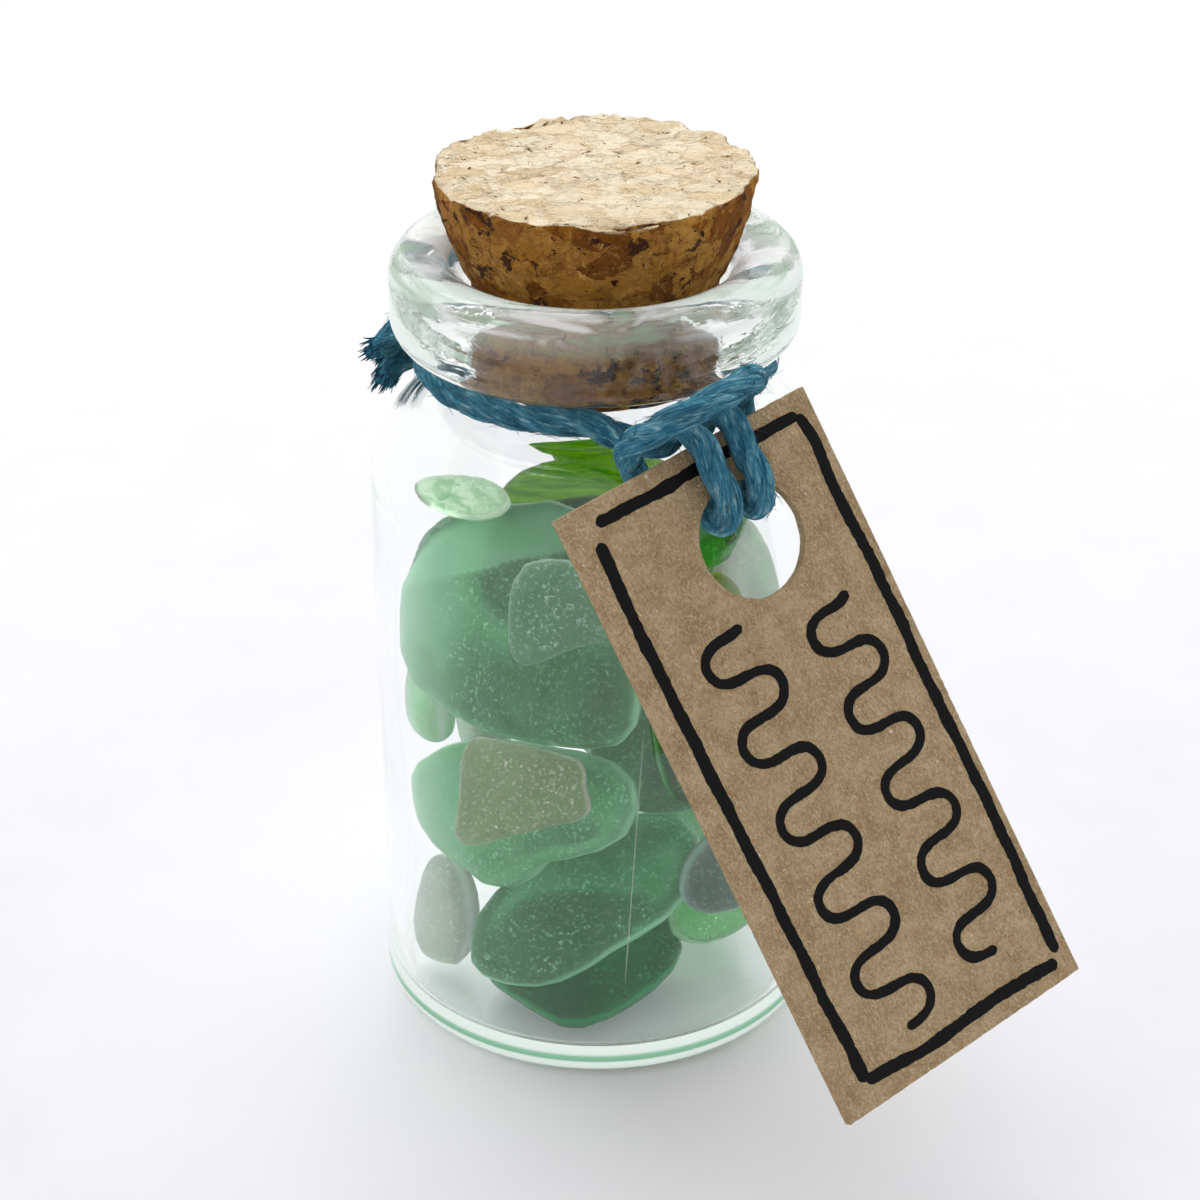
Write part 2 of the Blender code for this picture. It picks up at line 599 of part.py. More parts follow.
def room(profile, height):
    """The inside's radius at a height, less the gap that a chip keeps."""
    radius = BODY_DIAMETER / 2 - WALL
    for (high_radius, high), (low_radius, low) in zip(profile, profile[1:]):
        if low < height <= high:
            radius = low_radius + (high_radius - low_radius) * (height - low) / (high - low)
    return radius - CHIP_GAP - WALL_SLACK


def closest_balls(first, second, centres, balls):
    """The distance between two chips' closest balls, and the step from the second's to the first's."""
    across = (balls[first] + centres[first])[:, None] - (balls[second] + centres[second])[None]
    apart = np.linalg.norm(across, axis=2)
    place = np.unravel_index(np.argmin(apart), apart.shape)
    return max(apart[place], 1e-9), across[place]


def near_pairs(centres, reaches):
    for first in range(len(centres)):
        for second in range(first + 1, len(centres)):
            if np.linalg.norm(centres[first] - centres[second]) < reaches[first] + reaches[second]:
                yield first, second


def push_apart(centres, balls, radii, reaches, firmness):
    """Moves each pair of chips apart by the deepest overlap of their balls."""
    for first, second in near_pairs(centres, reaches):
        apart, across = closest_balls(first, second, centres, balls)
        overlap = radii[first] + radii[second] + SPREAD_GAP - apart
        if overlap > 0.0:
            push = across / apart * overlap / (firmness[first] + firmness[second])
            centres[first] += push * firmness[second]
            centres[second] -= push * firmness[first]


def keep_inside(centres, balls, radii, profile):
    """Moves each chip in from the wall and up from the floor."""
    for index, centre in enumerate(centres):
        places = balls[index] + centre
        reach = np.hypot(places[:, 0], places[:, 1]) + radii[index]
        past = reach - np.array([room(profile, height) for height in places[:, 2]])
        worst = np.argmax(past)
        if past[worst] > 0.0:
            inward = -places[worst, :2] / max(np.hypot(*places[worst, :2]), 1e-9)
            centre[:2] += inward * past[worst]
        centre[2] += max(0.0, FLOOR_THICKNESS + CHIP_GAP + radii[index] - places[:, 2].min())


def spread(wanted, balls, radii, reaches, firmness, profile):
    """The chips' places after they have made way for one another and sunk together."""
    centres = np.array(wanted)
    for index in range(SPREAD_ROUNDS + PUSH_ROUNDS):
        if index < SPREAD_ROUNDS:
            centres[:, 2] -= SINK_STEP
            centres += (wanted - centres) * PULL_SHARE
        push_apart(centres, balls, radii, reaches, firmness)
        keep_inside(centres, balls, radii, profile)
    return centres


def skin(mesh, turn, centre, growth):
    """A search tree of a chip's faces, grown by a gap."""
    place = Matrix.Translation(centre) @ turn
    points = [place @ (vert.co + vert.normal * growth) for vert in mesh.vertices]
    return BVHTree.FromPolygons(points, [list(face.vertices) for face in mesh.polygons])


def nudge_apart(centres, meshes, turns, balls, radii, reaches, firmness, profile):
    """Nudges chips whose faces are closer than the gap, until none is; returns how many pairs are left."""
    for _ in range(NUDGE_ROUNDS):
        skins = [skin(*chip, 0.52 * CHIP_GAP) for chip in zip(meshes, turns, centres)]
        close = [pair for pair in near_pairs(centres, reaches) if skins[pair[0]].overlap(skins[pair[1]])]
        if not close:
            break
        for first, second in close:
            apart, across = closest_balls(first, second, centres, balls)
            push = across / apart * NUDGE_STEP / (firmness[first] + firmness[second])
            centres[first] += push * firmness[second]
            centres[second] -= push * firmness[first]
        keep_inside(centres, balls, radii, profile)
    return close


def room_for(points, centre, profile):
    """The centre moved toward the axis until every point is clear of the wall."""
    for _ in range(6):
        plan = Vector((centre.x, centre.y, 0.0))
        past = max(
            math.hypot(point.x + centre.x, point.y + centre.y) - room(profile, point.z + centre.z)
            for point in points
        )
        if past <= 0.0 or plan.length < past:
            break
        centre = centre - plan.normalized() * past
    return centre


def lowered(mesh, turn, centre, trees):
    """The centre lowered until only the gap is left below the chip, or until its neighbours wedge it."""
    start = centre.z
    step = Vector((0.0, 0.0, DROP_STEP))
    for _ in range(80):
        chip_skin = skin(mesh, turn, centre - step, CHIP_GAP)
        if start - centre.z + step.z > MOST_DROP or any(tree.overlap(chip_skin) for tree in trees):
            step = step / 2
        else:
            centre = centre - step
    return centre


def make_chips(bottle):
    profile = inner_profile()
    radius = BODY_DIAMETER / 2 - WALL
    fill = BOTTLE_HEIGHT + CORK_PROUD - CORK_HEIGHT - HEADROOM - FLOOR_THICKNESS
    meshes = []
    balls = []
    radii = []
    turns = []
    wanted = []
    for name, outline, _, _, shares, place, turn in CHIPS:
        size = (shares[0] * LARGEST_CHIP, shares[1] * LARGEST_CHIP, shares[2] * CHIP_THICKNESS)
        meshes.append(chip_mesh(name, outline, *size))
        radii.append(size[2] / 2)
        turns.append(chip_turn(*turn).to_4x4())
        balls.append(balls_in_chip(outline, *size) @ np.array(chip_turn(*turn)).T)
        wanted.append((place[0] * radius, place[1] * radius, FLOOR_THICKNESS + place[2] * fill))
    wanted = np.array(wanted)
    firmness = [chip[3] for chip in CHIPS]
    reaches = [np.linalg.norm(ball, axis=1).max() + thick + SPREAD_GAP for ball, thick in zip(balls, radii)]
    centres = spread(wanted, balls, radii, reaches, firmness, profile)
    close = nudge_apart(centres, meshes, turns, balls, radii, reaches, firmness, profile)
    print("chips still close: " + ", ".join(f"{CHIPS[a][0]} {CHIPS[b][0]}" for a, b in close))
    trees = [skin(bottle.data, Matrix(), Vector(), 0.0)]
    lowest = [centre[2] + ball[:, 2].min() for centre, ball in zip(centres, balls)]
    for index in sorted(range(len(CHIPS)), key=lambda chip: lowest[chip]):
        mesh, turn = meshes[index], turns[index]
        spread_to = room_for([turn @ vert.co for vert in mesh.vertices], Vector(centres[index]), profile)
        centre = lowered(mesh, turn, spread_to, trees)
        chip = add_object(CHIPS[index][0], mesh, material(CHIPS[index][0], CHIPS[index][2], 0.6))
        chip.matrix_world = Matrix.Translation(centre) @ turn
        trees.append(skin(mesh, turn, centre, 0.0))
        moved = (centre - Vector(wanted[index])) / MM
        fell = (spread_to.z - centre.z) / MM
        top = max((chip.matrix_world @ vert.co).z for vert in mesh.vertices) / MM
        print(f"{chip.name}: moved {moved.x:.1f} {moved.y:.1f} {moved.z:.1f}, fell {fell:.1f}, top {top:.1f}")


def main():
    clear_scene()
    bottle = make_bottle()
    make_cork()
    make_tag()
    make_twine()
    make_chips(bottle)


main()
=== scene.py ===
"""Looks for the bottle of sea glass: clear glass, pressed cork, twisted twine, a kraft card and frosted chips."""

import math
import random

import bmesh
import bpy
import numpy as np
from mathutils import Matrix, Vector, noise


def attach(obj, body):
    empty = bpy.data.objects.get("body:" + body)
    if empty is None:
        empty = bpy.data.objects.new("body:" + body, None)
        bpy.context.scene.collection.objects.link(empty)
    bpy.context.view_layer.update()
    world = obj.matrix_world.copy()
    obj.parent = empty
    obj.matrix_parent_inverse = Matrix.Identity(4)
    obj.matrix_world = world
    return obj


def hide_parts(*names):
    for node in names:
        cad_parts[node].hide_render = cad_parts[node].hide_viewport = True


MM = 0.001

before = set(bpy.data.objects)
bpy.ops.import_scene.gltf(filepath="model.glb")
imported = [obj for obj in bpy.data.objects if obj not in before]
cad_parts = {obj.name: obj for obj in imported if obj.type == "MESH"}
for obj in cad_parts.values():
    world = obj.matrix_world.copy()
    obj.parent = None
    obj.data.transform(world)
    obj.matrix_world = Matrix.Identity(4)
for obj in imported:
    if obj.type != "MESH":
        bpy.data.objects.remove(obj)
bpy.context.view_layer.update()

# Bottle, with the sizes of the CAD model
BODY_RADIUS = 11.0 * MM
BASE_RADIUS = 11.125 * MM
BASE_FLARE_HEIGHT = 3.5 * MM
BOTTLE_HEIGHT = 40.0 * MM
WALL = 0.85 * MM
FLOOR_THICKNESS = 1.15 * MM
HEEL_RADIUS = 0.9 * MM
INNER_HEEL_RADIUS = 0.6 * MM
SHOULDER_RADIUS = 5.2 * MM
SHOULDER_START = 28.1 * MM
NECK_RADIUS = 7.1 * MM
NECK_FILLET = 1.0 * MM
BORE_RADIUS = 6.15 * MM
LIP_RADIUS = 9.75 * MM
LIP_HEIGHT = 4.45 * MM
LIP_UNDER_FILLET = 0.35 * MM
LIP_LOWER_ROUNDING = 1.2 * MM
LIP_UPPER_ROUNDING = 1.25 * MM
FUNNEL_DEPTH = 2.0 * MM
GLASS_STEPS = 180

# Glass looks: the green foot, the waves in the lip and its milky streaks, partly painted refraction, a painted
# highlight line at the front, and how deep a ray has gone when the glass ends it as a painted glow
FOOT_TINT_HEIGHT = 2.0 * MM
FOOT_TINT_DEPTH = 1.1 * MM
LIP_WAVES = (34.0 * MM, 36.0 * MM)
LIP_MILK_AND_REFRACTION = (38.1 * MM, 39.1 * MM)
HIGHLIGHT_SIDEWAYS = 0.9 * MM
HIGHLIGHT_LEAN = 0.062
HIGHLIGHT_WIDTHS = (0.01 * MM, 0.035 * MM)
HIGHLIGHT_SPAN = 25.0 * MM
DEEP_RAY = 7.5
DEEP_GLOSS = 3.5

# Cork
CORK_TOP_RADIUS = 7.53 * MM
CORK_HEIGHT = 9.7 * MM
CORK_PROUD = 3.7 * MM
CORK_GAP = 0.3 * MM
CORK_EDGE = 0.3 * MM
CORK_LEVELS = 44
CORK_STEPS = 260
CORK_FLARE_SHARES = ((0.0, 0.0), (0.33, 0.42), (0.5, 0.62), (0.72, 0.885), (0.95, 1.0))

# Card tag
TAG_WIDTH = 14.0 * MM
TAG_LENGTH = 30.0 * MM
TAG_THICKNESS = 0.5 * MM
TAG_HOLE_RADIUS = 2.7 * MM
TAG_HOLE_FROM_TOP = 4.9 * MM
TAG_HOLE_OFFSET = 1.28 * MM
TAG_AZIMUTH = -60.1
TAG_LEAN = 30.2
TAG_ROLL = 12.4
TAG_DROP = 5.4 * MM
TAG_OFF_LIP = 0.5 * MM
TAG_SHIFT = -0.6 * MM
CARD_COLUMNS = 56
CARD_ROWS = 120
PIVOT_ABOVE_HOLE = 0.9 * MM

# Twine, along the route of the CAD model
TWINE_DIAMETER = 1.4 * MM
TWINE_GAP = 0.3 * MM
TWINE_SELF_GAP = 0.4 * MM
TWINE_BELOW_LIP = 1.1 * MM
PLIES = 3
PLY_PITCH = 6.4 * MM
PLY_REACH = 0.28 * MM
PLY_RADIUS = 0.41 * MM
LOOSE_HAIRS = 2200
END_HAIRS = 60
HITCH_POINTS = (
    (-2.33, 6.6, -4.51), (-1.6, 5.3, -3.2), (-1.0, 4.6, -2.0), (-0.8, 4.8, -0.95), (-0.75, 5.1, -0.1),
    (-0.75, 4.8, 0.75), (-0.75, 4.1, 1.25), (-0.75, 3.0, 1.25), (-0.75, 1.8, 1.25), (-0.75, 0.8, 0.9),
    (-0.75, 0.35, 0.0), (-0.8, 0.8, -0.85), (-1.1, 1.6, -1.25), (-2.1, 2.6, -1.25), (-2.9, 3.6, -1.25),
    (-3.15, 4.4, -1.2), (-3.2, 4.95, -0.75), (-3.2, 5.25, -0.1), (-3.1, 5.45, 0.8), (-2.6, 5.55, 1.9),
    (-1.6, 5.6, 2.7), (0.0, 5.6, 3.0), (1.6, 5.6, 2.7),
    (2.6, 5.55, 1.9), (3.1, 5.45, 0.8), (3.2, 5.25, -0.1), (3.2, 4.95, -0.75), (3.15, 4.4, -1.2),
    (2.9, 3.6, -1.25), (2.2, 2.6, -1.25), (1.4, 1.6, -1.25), (1.15, 0.7, -0.85), (1.12, 0.2, 0.0),
    (1.12, 0.7, 0.9), (1.12, 1.8, 1.25), (1.12, 3.0, 1.25), (1.12, 4.1, 1.25), (1.12, 4.8, 0.75),
    (1.12, 5.1, -0.1), (1.15, 4.8, -0.95), (1.3, 4.4, -2.0), (2.0, 4.45, -3.1), (3.59, 4.89, -3.82),
)
FRONT_TURN = (-241.0, -105.0, 16)
BACK_TURN = (-32.0, 88.0, 14)
KNOT_START = (-5.43, 9.64, 34.0)
KNOT_END = (-9.22, 6.09, 32.8)
KNOT_RADIUS = 1.03
KNOT_TURNS = 1.0
FIRST_TAIL = ((-10.45, 4.0, 31.25), (-10.1, 4.8, 31.5))
SECOND_TAIL = ((-10.1, 4.9, 33.05), (-10.9, 3.6, 32.95))
FIRST_END_BACK = ((-3.95, 9.95, 33.1), (-3.5, 9.2, 33.6), (-3.5, 8.2, 34.1))
SECOND_END_IN = ((-0.81, 9.1, 34.45), (-1.85, 10.2, 34.6), (-3.5, 11.0, 34.9))

# Pen strokes on the card, in mm from its top left corner: to the right and down
PEN_WIDTH = 0.58 * MM
PEN_BORDER = (
    ((1.6, 0.95), (3.6, 1.0), (5.5, 1.05), (7.2, 0.95), (10.4, 1.0), (12.0, 0.95), (13.1, 1.0)),
    ((13.1, 1.0), (13.3, 2.6), (13.2, 5.0), (13.35, 8.5), (13.3, 13.9), (13.4, 20.4), (13.3, 25.0), (13.3, 28.7)),
    ((1.4, 1.75), (1.3, 4.0), (1.2, 6.6), (1.3, 12.5), (1.4, 18.1), (1.5, 24.1), (1.6, 28.7)),
    ((1.6, 28.7), (3.6, 28.9), (5.4, 29.0), (8.0, 28.9), (10.0, 28.9), (13.1, 29.1)),
)

# The two wavy lines: how far in they lie, how wide they swing, their start in the wave, top and bottom
WAVES = ((10.3, 1.5, 0.1, 8.8, 27.0), (4.9, 1.6, 0.4, 7.8, 27.8))
WAVE_PITCH = 3.9
WAVE_STEPS = 90
WAVE_PEN_SHARE = 0.82

# Chips: deep colour, pale colour, and where they differ from chip_finish's own values, the share of light
# let through, the roughness and the share of pale streaks
CHIP_LOOKS = {
    "dark_emerald_chip": ((0, 56, 20), (8, 110, 54), 0.92, 0.16, 0.2),
    "bright_green_chip": ((50, 160, 60), (136, 186, 142), 0.85, 0.24),
    "pale_grey_chip": ((150, 172, 146), (184, 198, 184)),
    "floor_chip": ((84, 154, 104), (146, 196, 156)),
    "lavender_chip": ((86, 112, 106), (136, 156, 152)),
    "lower_lobed_chip": ((52, 152, 82), (120, 188, 142), 0.68, 0.3),
    "left_back_chip": ((120, 160, 118), (165, 200, 165)),
    "heart_chip": ((48, 148, 76), (122, 184, 138), 0.76, 0.28),
    "right_back_chip": ((64, 144, 78), (126, 186, 136)),
    "grey_green_chip": ((60, 140, 88), (126, 182, 142)),
    "olive_chip": ((166, 186, 128), (204, 218, 180), 0.72, 0.3),
    "dark_sliver": ((0, 90, 0), (30, 120, 30), 0.88, 0.22),
    "left_pale_chip": ((100, 200, 114), (178, 230, 184), 0.85, 0.28),
    "middle_back_chip": ((80, 158, 96), (140, 196, 150)),
    "big_frosted_chip": ((24, 136, 58), (116, 184, 136), 0.76, 0.28),
    "pale_front_chip": ((100, 180, 122), (166, 216, 178), 0.68, 0.3),
    "right_chip": ((60, 144, 74), (126, 192, 136)),
    "emerald_back_chip": ((0, 96, 16), (16, 124, 34), 0.9, 0.18),
    "grey_white_chip": ((196, 208, 196), (226, 234, 226), 0.8, 0.34, 0.2),
    "olive_sliver": ((120, 150, 0), (160, 180, 60), 0.85, 0.28, 0.2),
    "hole_green_chip": ((0, 92, 0), (10, 132, 10), 0.95, 0.13, 0.1),
    "lime_top_chip": ((0, 84, 0), (96, 150, 0), 0.96, 0.1, 0.8),
    "pale_top_shard": ((60, 158, 72), (214, 242, 210), 0.86, 0.18, 0.9),
}

# Outward growth of every chip's visible shape, which the CAD keeps apart from the rest, and its mesh size
CHIP_GROWTH = 0.18 * MM
CHIP_VOXEL = 0.2 * MM

# Chips painted whiter on the left as painted light from that side, where that starts and the width in which it grows
# full
SIDE_LIT_CHIPS = ("big_frosted_chip", "heart_chip")
SIDE_LIGHT_START = -5.9 * MM
SIDE_LIGHT_WIDTH = 3.8 * MM

# The share of its height that the flat shard at the top keeps
SHARD_HEIGHT = 0.72

# A bevelled face on a chip: a point on its crease in mm, the direction up from the crease and the slope.
# The face above the crease is also painted pale, as a painted highlight where it faces up to the light.
CHIP_FACETS = {"big_frosted_chip": ((-6.63, -5.98, 25.54), (-0.176, 0.452, 0.874), 0.45)}

# White scuffs on chips: the middle and half lengths in mm
CHIP_MARKS = {"big_frosted_chip": ((-1.7, -6.8, 17.6), (1.2, 1.5, 0.45))}

# Room, in metres
TABLE_REACH = 1.5
LAMP_SIZE = (0.34, 0.26)
LAMP_PLACE = (-0.05, 0.22, 0.42)
LAMP_POWER = 0.95
LAMP_TARGET = Vector((0.0, 0.0, 0.02))

# Camera: its place, its angles in degrees and its lens in mm
CAMERA_PLACE = (0.0, -133.95 * MM, 93.1 * MM)
CAMERA_PITCH = 28.298
CAMERA_YAW = 0.058
CAMERA_ROLL = -0.331
LENS = 91.62


def srgb(red, green, blue):
    """A colour given in display values from 0 to 255, as the linear values that shaders take."""
    channels = []
    for value in (red / 255, green / 255, blue / 255):
        channels.append(value / 12.92 if value <= 0.04045 else ((value + 0.055) / 1.055) ** 2.4)
    return (*channels, 1.0)


class Shading:
    """The nodes of a material or of the world, added one at a time."""

    def __init__(self, owner, output="OutputMaterial"):
        self.owner = owner
        owner.use_nodes = True
        self.tree = owner.node_tree
        self.tree.nodes.clear()
        self.output = self.node(output)

    def node(self, kind, inputs=None, **settings):
        item = self.tree.nodes.new("ShaderNode" + kind)
        for key, value in settings.items():
            setattr(item, key, value)
        for key, value in (inputs or {}).items():
            if isinstance(value, bpy.types.NodeSocket):
                self.tree.links.new(value, item.inputs[key])
            else:
                item.inputs[key].default_value = value
        return item

    def place(self):
        return self.node("TexCoord").outputs["Object"]

    def noise(self, vector, size, detail=2.0, roughness=0.5, distortion=0.0, **stretch):
        """Noise whose features are about size metres across, unless it is stretched."""
        if stretch:
            vector = self.stretch(vector, **stretch)
        inputs = {"Scale": 1.0 / size, "Detail": detail, "Roughness": roughness, "Distortion": distortion}
        return self.node("TexNoise", {"Vector": vector, **inputs}).outputs["Fac"]

    def ramp(self, factor, *stops):
        """Colours by their places: a grey, four linear values or three display values."""
        item = self.node("ValToRGB", {"Fac": factor})
        elements = item.color_ramp.elements
        while len(elements) < len(stops):
            elements.new(0.5)
        for element, (place, colour) in zip(elements, stops):
            element.position = place
            if not isinstance(colour, tuple):
                colour = (colour, colour, colour, 1.0)
            element.color = srgb(*colour) if len(colour) == 3 else colour
        return item.outputs["Color"]

    def mix(self, factor, first, second, blend="MIX"):
        inputs = {0: factor, 6: first, 7: second}
        return self.node("Mix", inputs, data_type="RGBA", blend_type=blend).outputs[2]

    def layered(self, colour, *layers):
        """The colour with each layer's tone laid over it, by the layer's share."""
        for share, tone in layers:
            colour = self.mix(share, colour, tone)
        return colour

    def math(self, operation, first, second=0.5):
        return self.node("Math", {0: first, 1: second}, operation=operation).outputs[0]

    def times(self, first, second):
        return self.math("MULTIPLY", first, second)

    def larger(self, *values):
        most = values[0]
        for value in values[1:]:
            most = self.math("MAXIMUM", most, value)
        return most

    def vector(self, operation, first, second=(0.0, 0.0, 0.0)):
        item = self.node("VectorMath", {0: first, 1: second}, operation=operation)
        return item.outputs[1 if operation in ("LENGTH", "DOT_PRODUCT") else 0]

    def axes(self, vector):
        return self.node("SeparateXYZ", {0: vector}).outputs

    def span(self, value, start, end, low=0.0, high=1.0, **settings):
        """How far a value has come from start to end, as a number from low to high."""
        return self.node("MapRange", {0: value, 1: start, 2: end, 3: low, 4: high}, **settings).outputs[0]

    def stretch(self, vector, scale, turn=(0.0, 0.0, 0.0)):
        turn = [math.radians(angle) for angle in turn]
        return self.node("Mapping", {"Vector": vector, "Scale": scale, "Rotation": turn}).outputs["Vector"]

    def bump(self, height, depth, strength):
        return self.node("Bump", {"Height": height, "Distance": depth, "Strength": strength}).outputs["Normal"]

    def principled(self, colour, roughness, normal, **more):
        inputs = {"Base Color": colour, "Roughness": roughness, "Normal": normal}
        inputs.update((key.replace("_", " "), value) for key, value in more.items())
        return self.node("BsdfPrincipled", inputs).outputs["BSDF"]

    def diffuse(self, colour):
        return self.node("BsdfDiffuse", {"Color": colour}).outputs[0]

    def glow(self, colour):
        return self.node("Emission", {"Color": colour, "Strength": 1.0}).outputs[0]

    def over(self, share, under, upper):
        """One shader over another, with the share that the upper one takes."""
        return self.node("MixShader", {0: share, 1: under, 2: upper}).outputs[0]

    def clear_to_shadows(self, surface, colour, share=1.0):
        """The surface, which lets lamps' light straight through to what is behind it."""
        shadow = self.node("LightPath").outputs["Is Shadow Ray"]
        through = self.node("BsdfTransparent", {"Color": colour}).outputs[0]
        return self.over(self.times(shadow, share), surface, through)

    def done(self, surface, volume=None):
        self.tree.links.new(surface, self.output.inputs["Surface"])
        if volume is not None:
            self.tree.links.new(volume, self.output.inputs["Volume"])
        return self.owner


def new_material(name):
    return Shading(bpy.data.materials.new(name))


def limited(value):
    return max(0.0, min(1.0, value))


def add_object(name, data):
    item = bpy.data.objects.new(name, data)
    bpy.context.scene.collection.objects.link(item)
    return item


def as_mesh(name, shape):
    """The mesh of a finished bmesh, which is then given up."""
    mesh = bpy.data.meshes.new(name)
    shape.to_mesh(mesh)
    shape.free()
    return mesh


def add_piece(name, mesh, finish, body, node=None):
    """Adds a mesh as a piece that rides on a body and may stand for a CAD node."""
    piece = add_object(name, mesh)
    mesh.materials.clear()
    mesh.materials.append(finish)
    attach(piece, body)
    if node:
        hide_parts(node)


def arc(centre, radius, start, end, steps):
    """Points on an arc, whose angles are in degrees."""
    points = []
    for index in range(steps + 1):
        angle = math.radians(start + (end - start) * index / steps)
        points.append((centre[0] + radius * math.cos(angle), centre[1] + radius * math.sin(angle)))
    return points


def evenly(points, spacing):
    """The points of a line, with more added wherever two lie further apart than the spacing."""
    dense = [points[0]]
    for first, second in zip(points, points[1:]):
        steps = max(1, math.ceil(math.dist(first, second) / spacing))
        for index in range(1, steps + 1):
            share = index / steps
            dense.append(tuple(a + (b - a) * share for a, b in zip(first, second)))
    return dense


def turned_mesh(name, profile, steps):
    """A closed solid turned round Z from a profile that starts and ends on the axis."""
    shape = bmesh.new()
    rings = []
    for radius, height in profile:
        if radius < 0.001 * MM:
            rings.append([shape.verts.new((0.0, 0.0, height))])
            continue
        ring = []
        for index in range(steps):
            angle = math.tau * index / steps
            ring.append(shape.verts.new((radius * math.cos(angle), radius * math.sin(angle), height)))
        rings.append(ring)
    for low, high in zip(rings, rings[1:]):
        for index in range(steps):
            after = (index + 1) % steps
            corners = [low[index % len(low)], low[after % len(low)], high[after % len(high)], high[index % len(high)]]
            corners = list(dict.fromkeys(corners))
            if len(corners) > 2:
                shape.faces.new(corners)
    bmesh.ops.recalc_face_normals(shape, faces=shape.faces)
    mesh = as_mesh(name, shape)
    mesh.shade_smooth()
    return mesh


def shift_points(mesh, offset):
    """Moves each point by what offset gives for its place and its outward direction."""
    normals = [vert.normal.copy() for vert in mesh.vertices]
    for vert, normal in zip(mesh.vertices, normals):
        vert.co += offset(vert.co.copy(), normal)
    mesh.update()


def neck_fillet(shoulder, neck, fillet):
    across = neck + fillet - (BODY_RADIUS - SHOULDER_RADIUS)
    angle = math.acos(across / (shoulder + fillet))
    return (neck + fillet, SHOULDER_START + (shoulder + fillet) * math.sin(angle)), math.degrees(angle)


def shoulder_and_neck(shoulder, neck, fillet):
    centre, meeting = neck_fillet(shoulder, neck, fillet)
    points = arc((BODY_RADIUS - SHOULDER_RADIUS, SHOULDER_START), shoulder, 0.0, meeting, 20)
    return points + arc(centre, fillet, 180.0 + meeting, 180.0, 10)[1:]


def mouth_radius(height):
    """The glass's inner radius at a height in the mouth's funnel or the bore below it."""
    foot = BOTTLE_HEIGHT - FUNNEL_DEPTH
    if height <= foot:
        return BORE_RADIUS
    reach = LIP_RADIUS - LIP_UPPER_ROUNDING - BORE_RADIUS
    rise = min(1.0, (height - foot) / FUNNEL_DEPTH)
    return BORE_RADIUS + reach * (1.0 - math.sqrt(1.0 - rise * rise))


def glass_profile():
    lip_bottom = BOTTLE_HEIGHT - LIP_HEIGHT
    points = [(0.0, 0.0)]
    points += arc((BASE_RADIUS - HEEL_RADIUS, HEEL_RADIUS), HEEL_RADIUS, -90.0, 0.0, 12)
    points.append((BODY_RADIUS, BASE_FLARE_HEIGHT))
    points += shoulder_and_neck(SHOULDER_RADIUS, NECK_RADIUS, NECK_FILLET)
    under = (NECK_RADIUS + LIP_UNDER_FILLET, lip_bottom - LIP_UNDER_FILLET)
    points += arc(under, LIP_UNDER_FILLET, 180.0, 90.0, 5)
    lower = (LIP_RADIUS - LIP_LOWER_ROUNDING, lip_bottom + LIP_LOWER_ROUNDING)
    points += arc(lower, LIP_LOWER_ROUNDING, -90.0, 0.0, 12)
    upper = (LIP_RADIUS - LIP_UPPER_ROUNDING, BOTTLE_HEIGHT - LIP_UPPER_ROUNDING)
    points += arc(upper, LIP_UPPER_ROUNDING, 0.0, 90.0, 12)
    for index in range(1, 19):
        height = BOTTLE_HEIGHT - FUNNEL_DEPTH * (1.0 - math.cos(math.radians(5.0 * index)))
        points.append((mouth_radius(height), height))
    inner = BODY_RADIUS - WALL
    inner_fillet = NECK_FILLET + NECK_RADIUS - BORE_RADIUS
    points += reversed(shoulder_and_neck(SHOULDER_RADIUS - WALL, BORE_RADIUS, inner_fillet))
    heel = (inner - INNER_HEEL_RADIUS, FLOOR_THICKNESS + INNER_HEEL_RADIUS)
    points += arc(heel, INNER_HEEL_RADIUS, 0.0, -90.0, 10)
    points.append((0.0, FLOOR_THICKNESS))
    return evenly(points, 0.8 * MM)


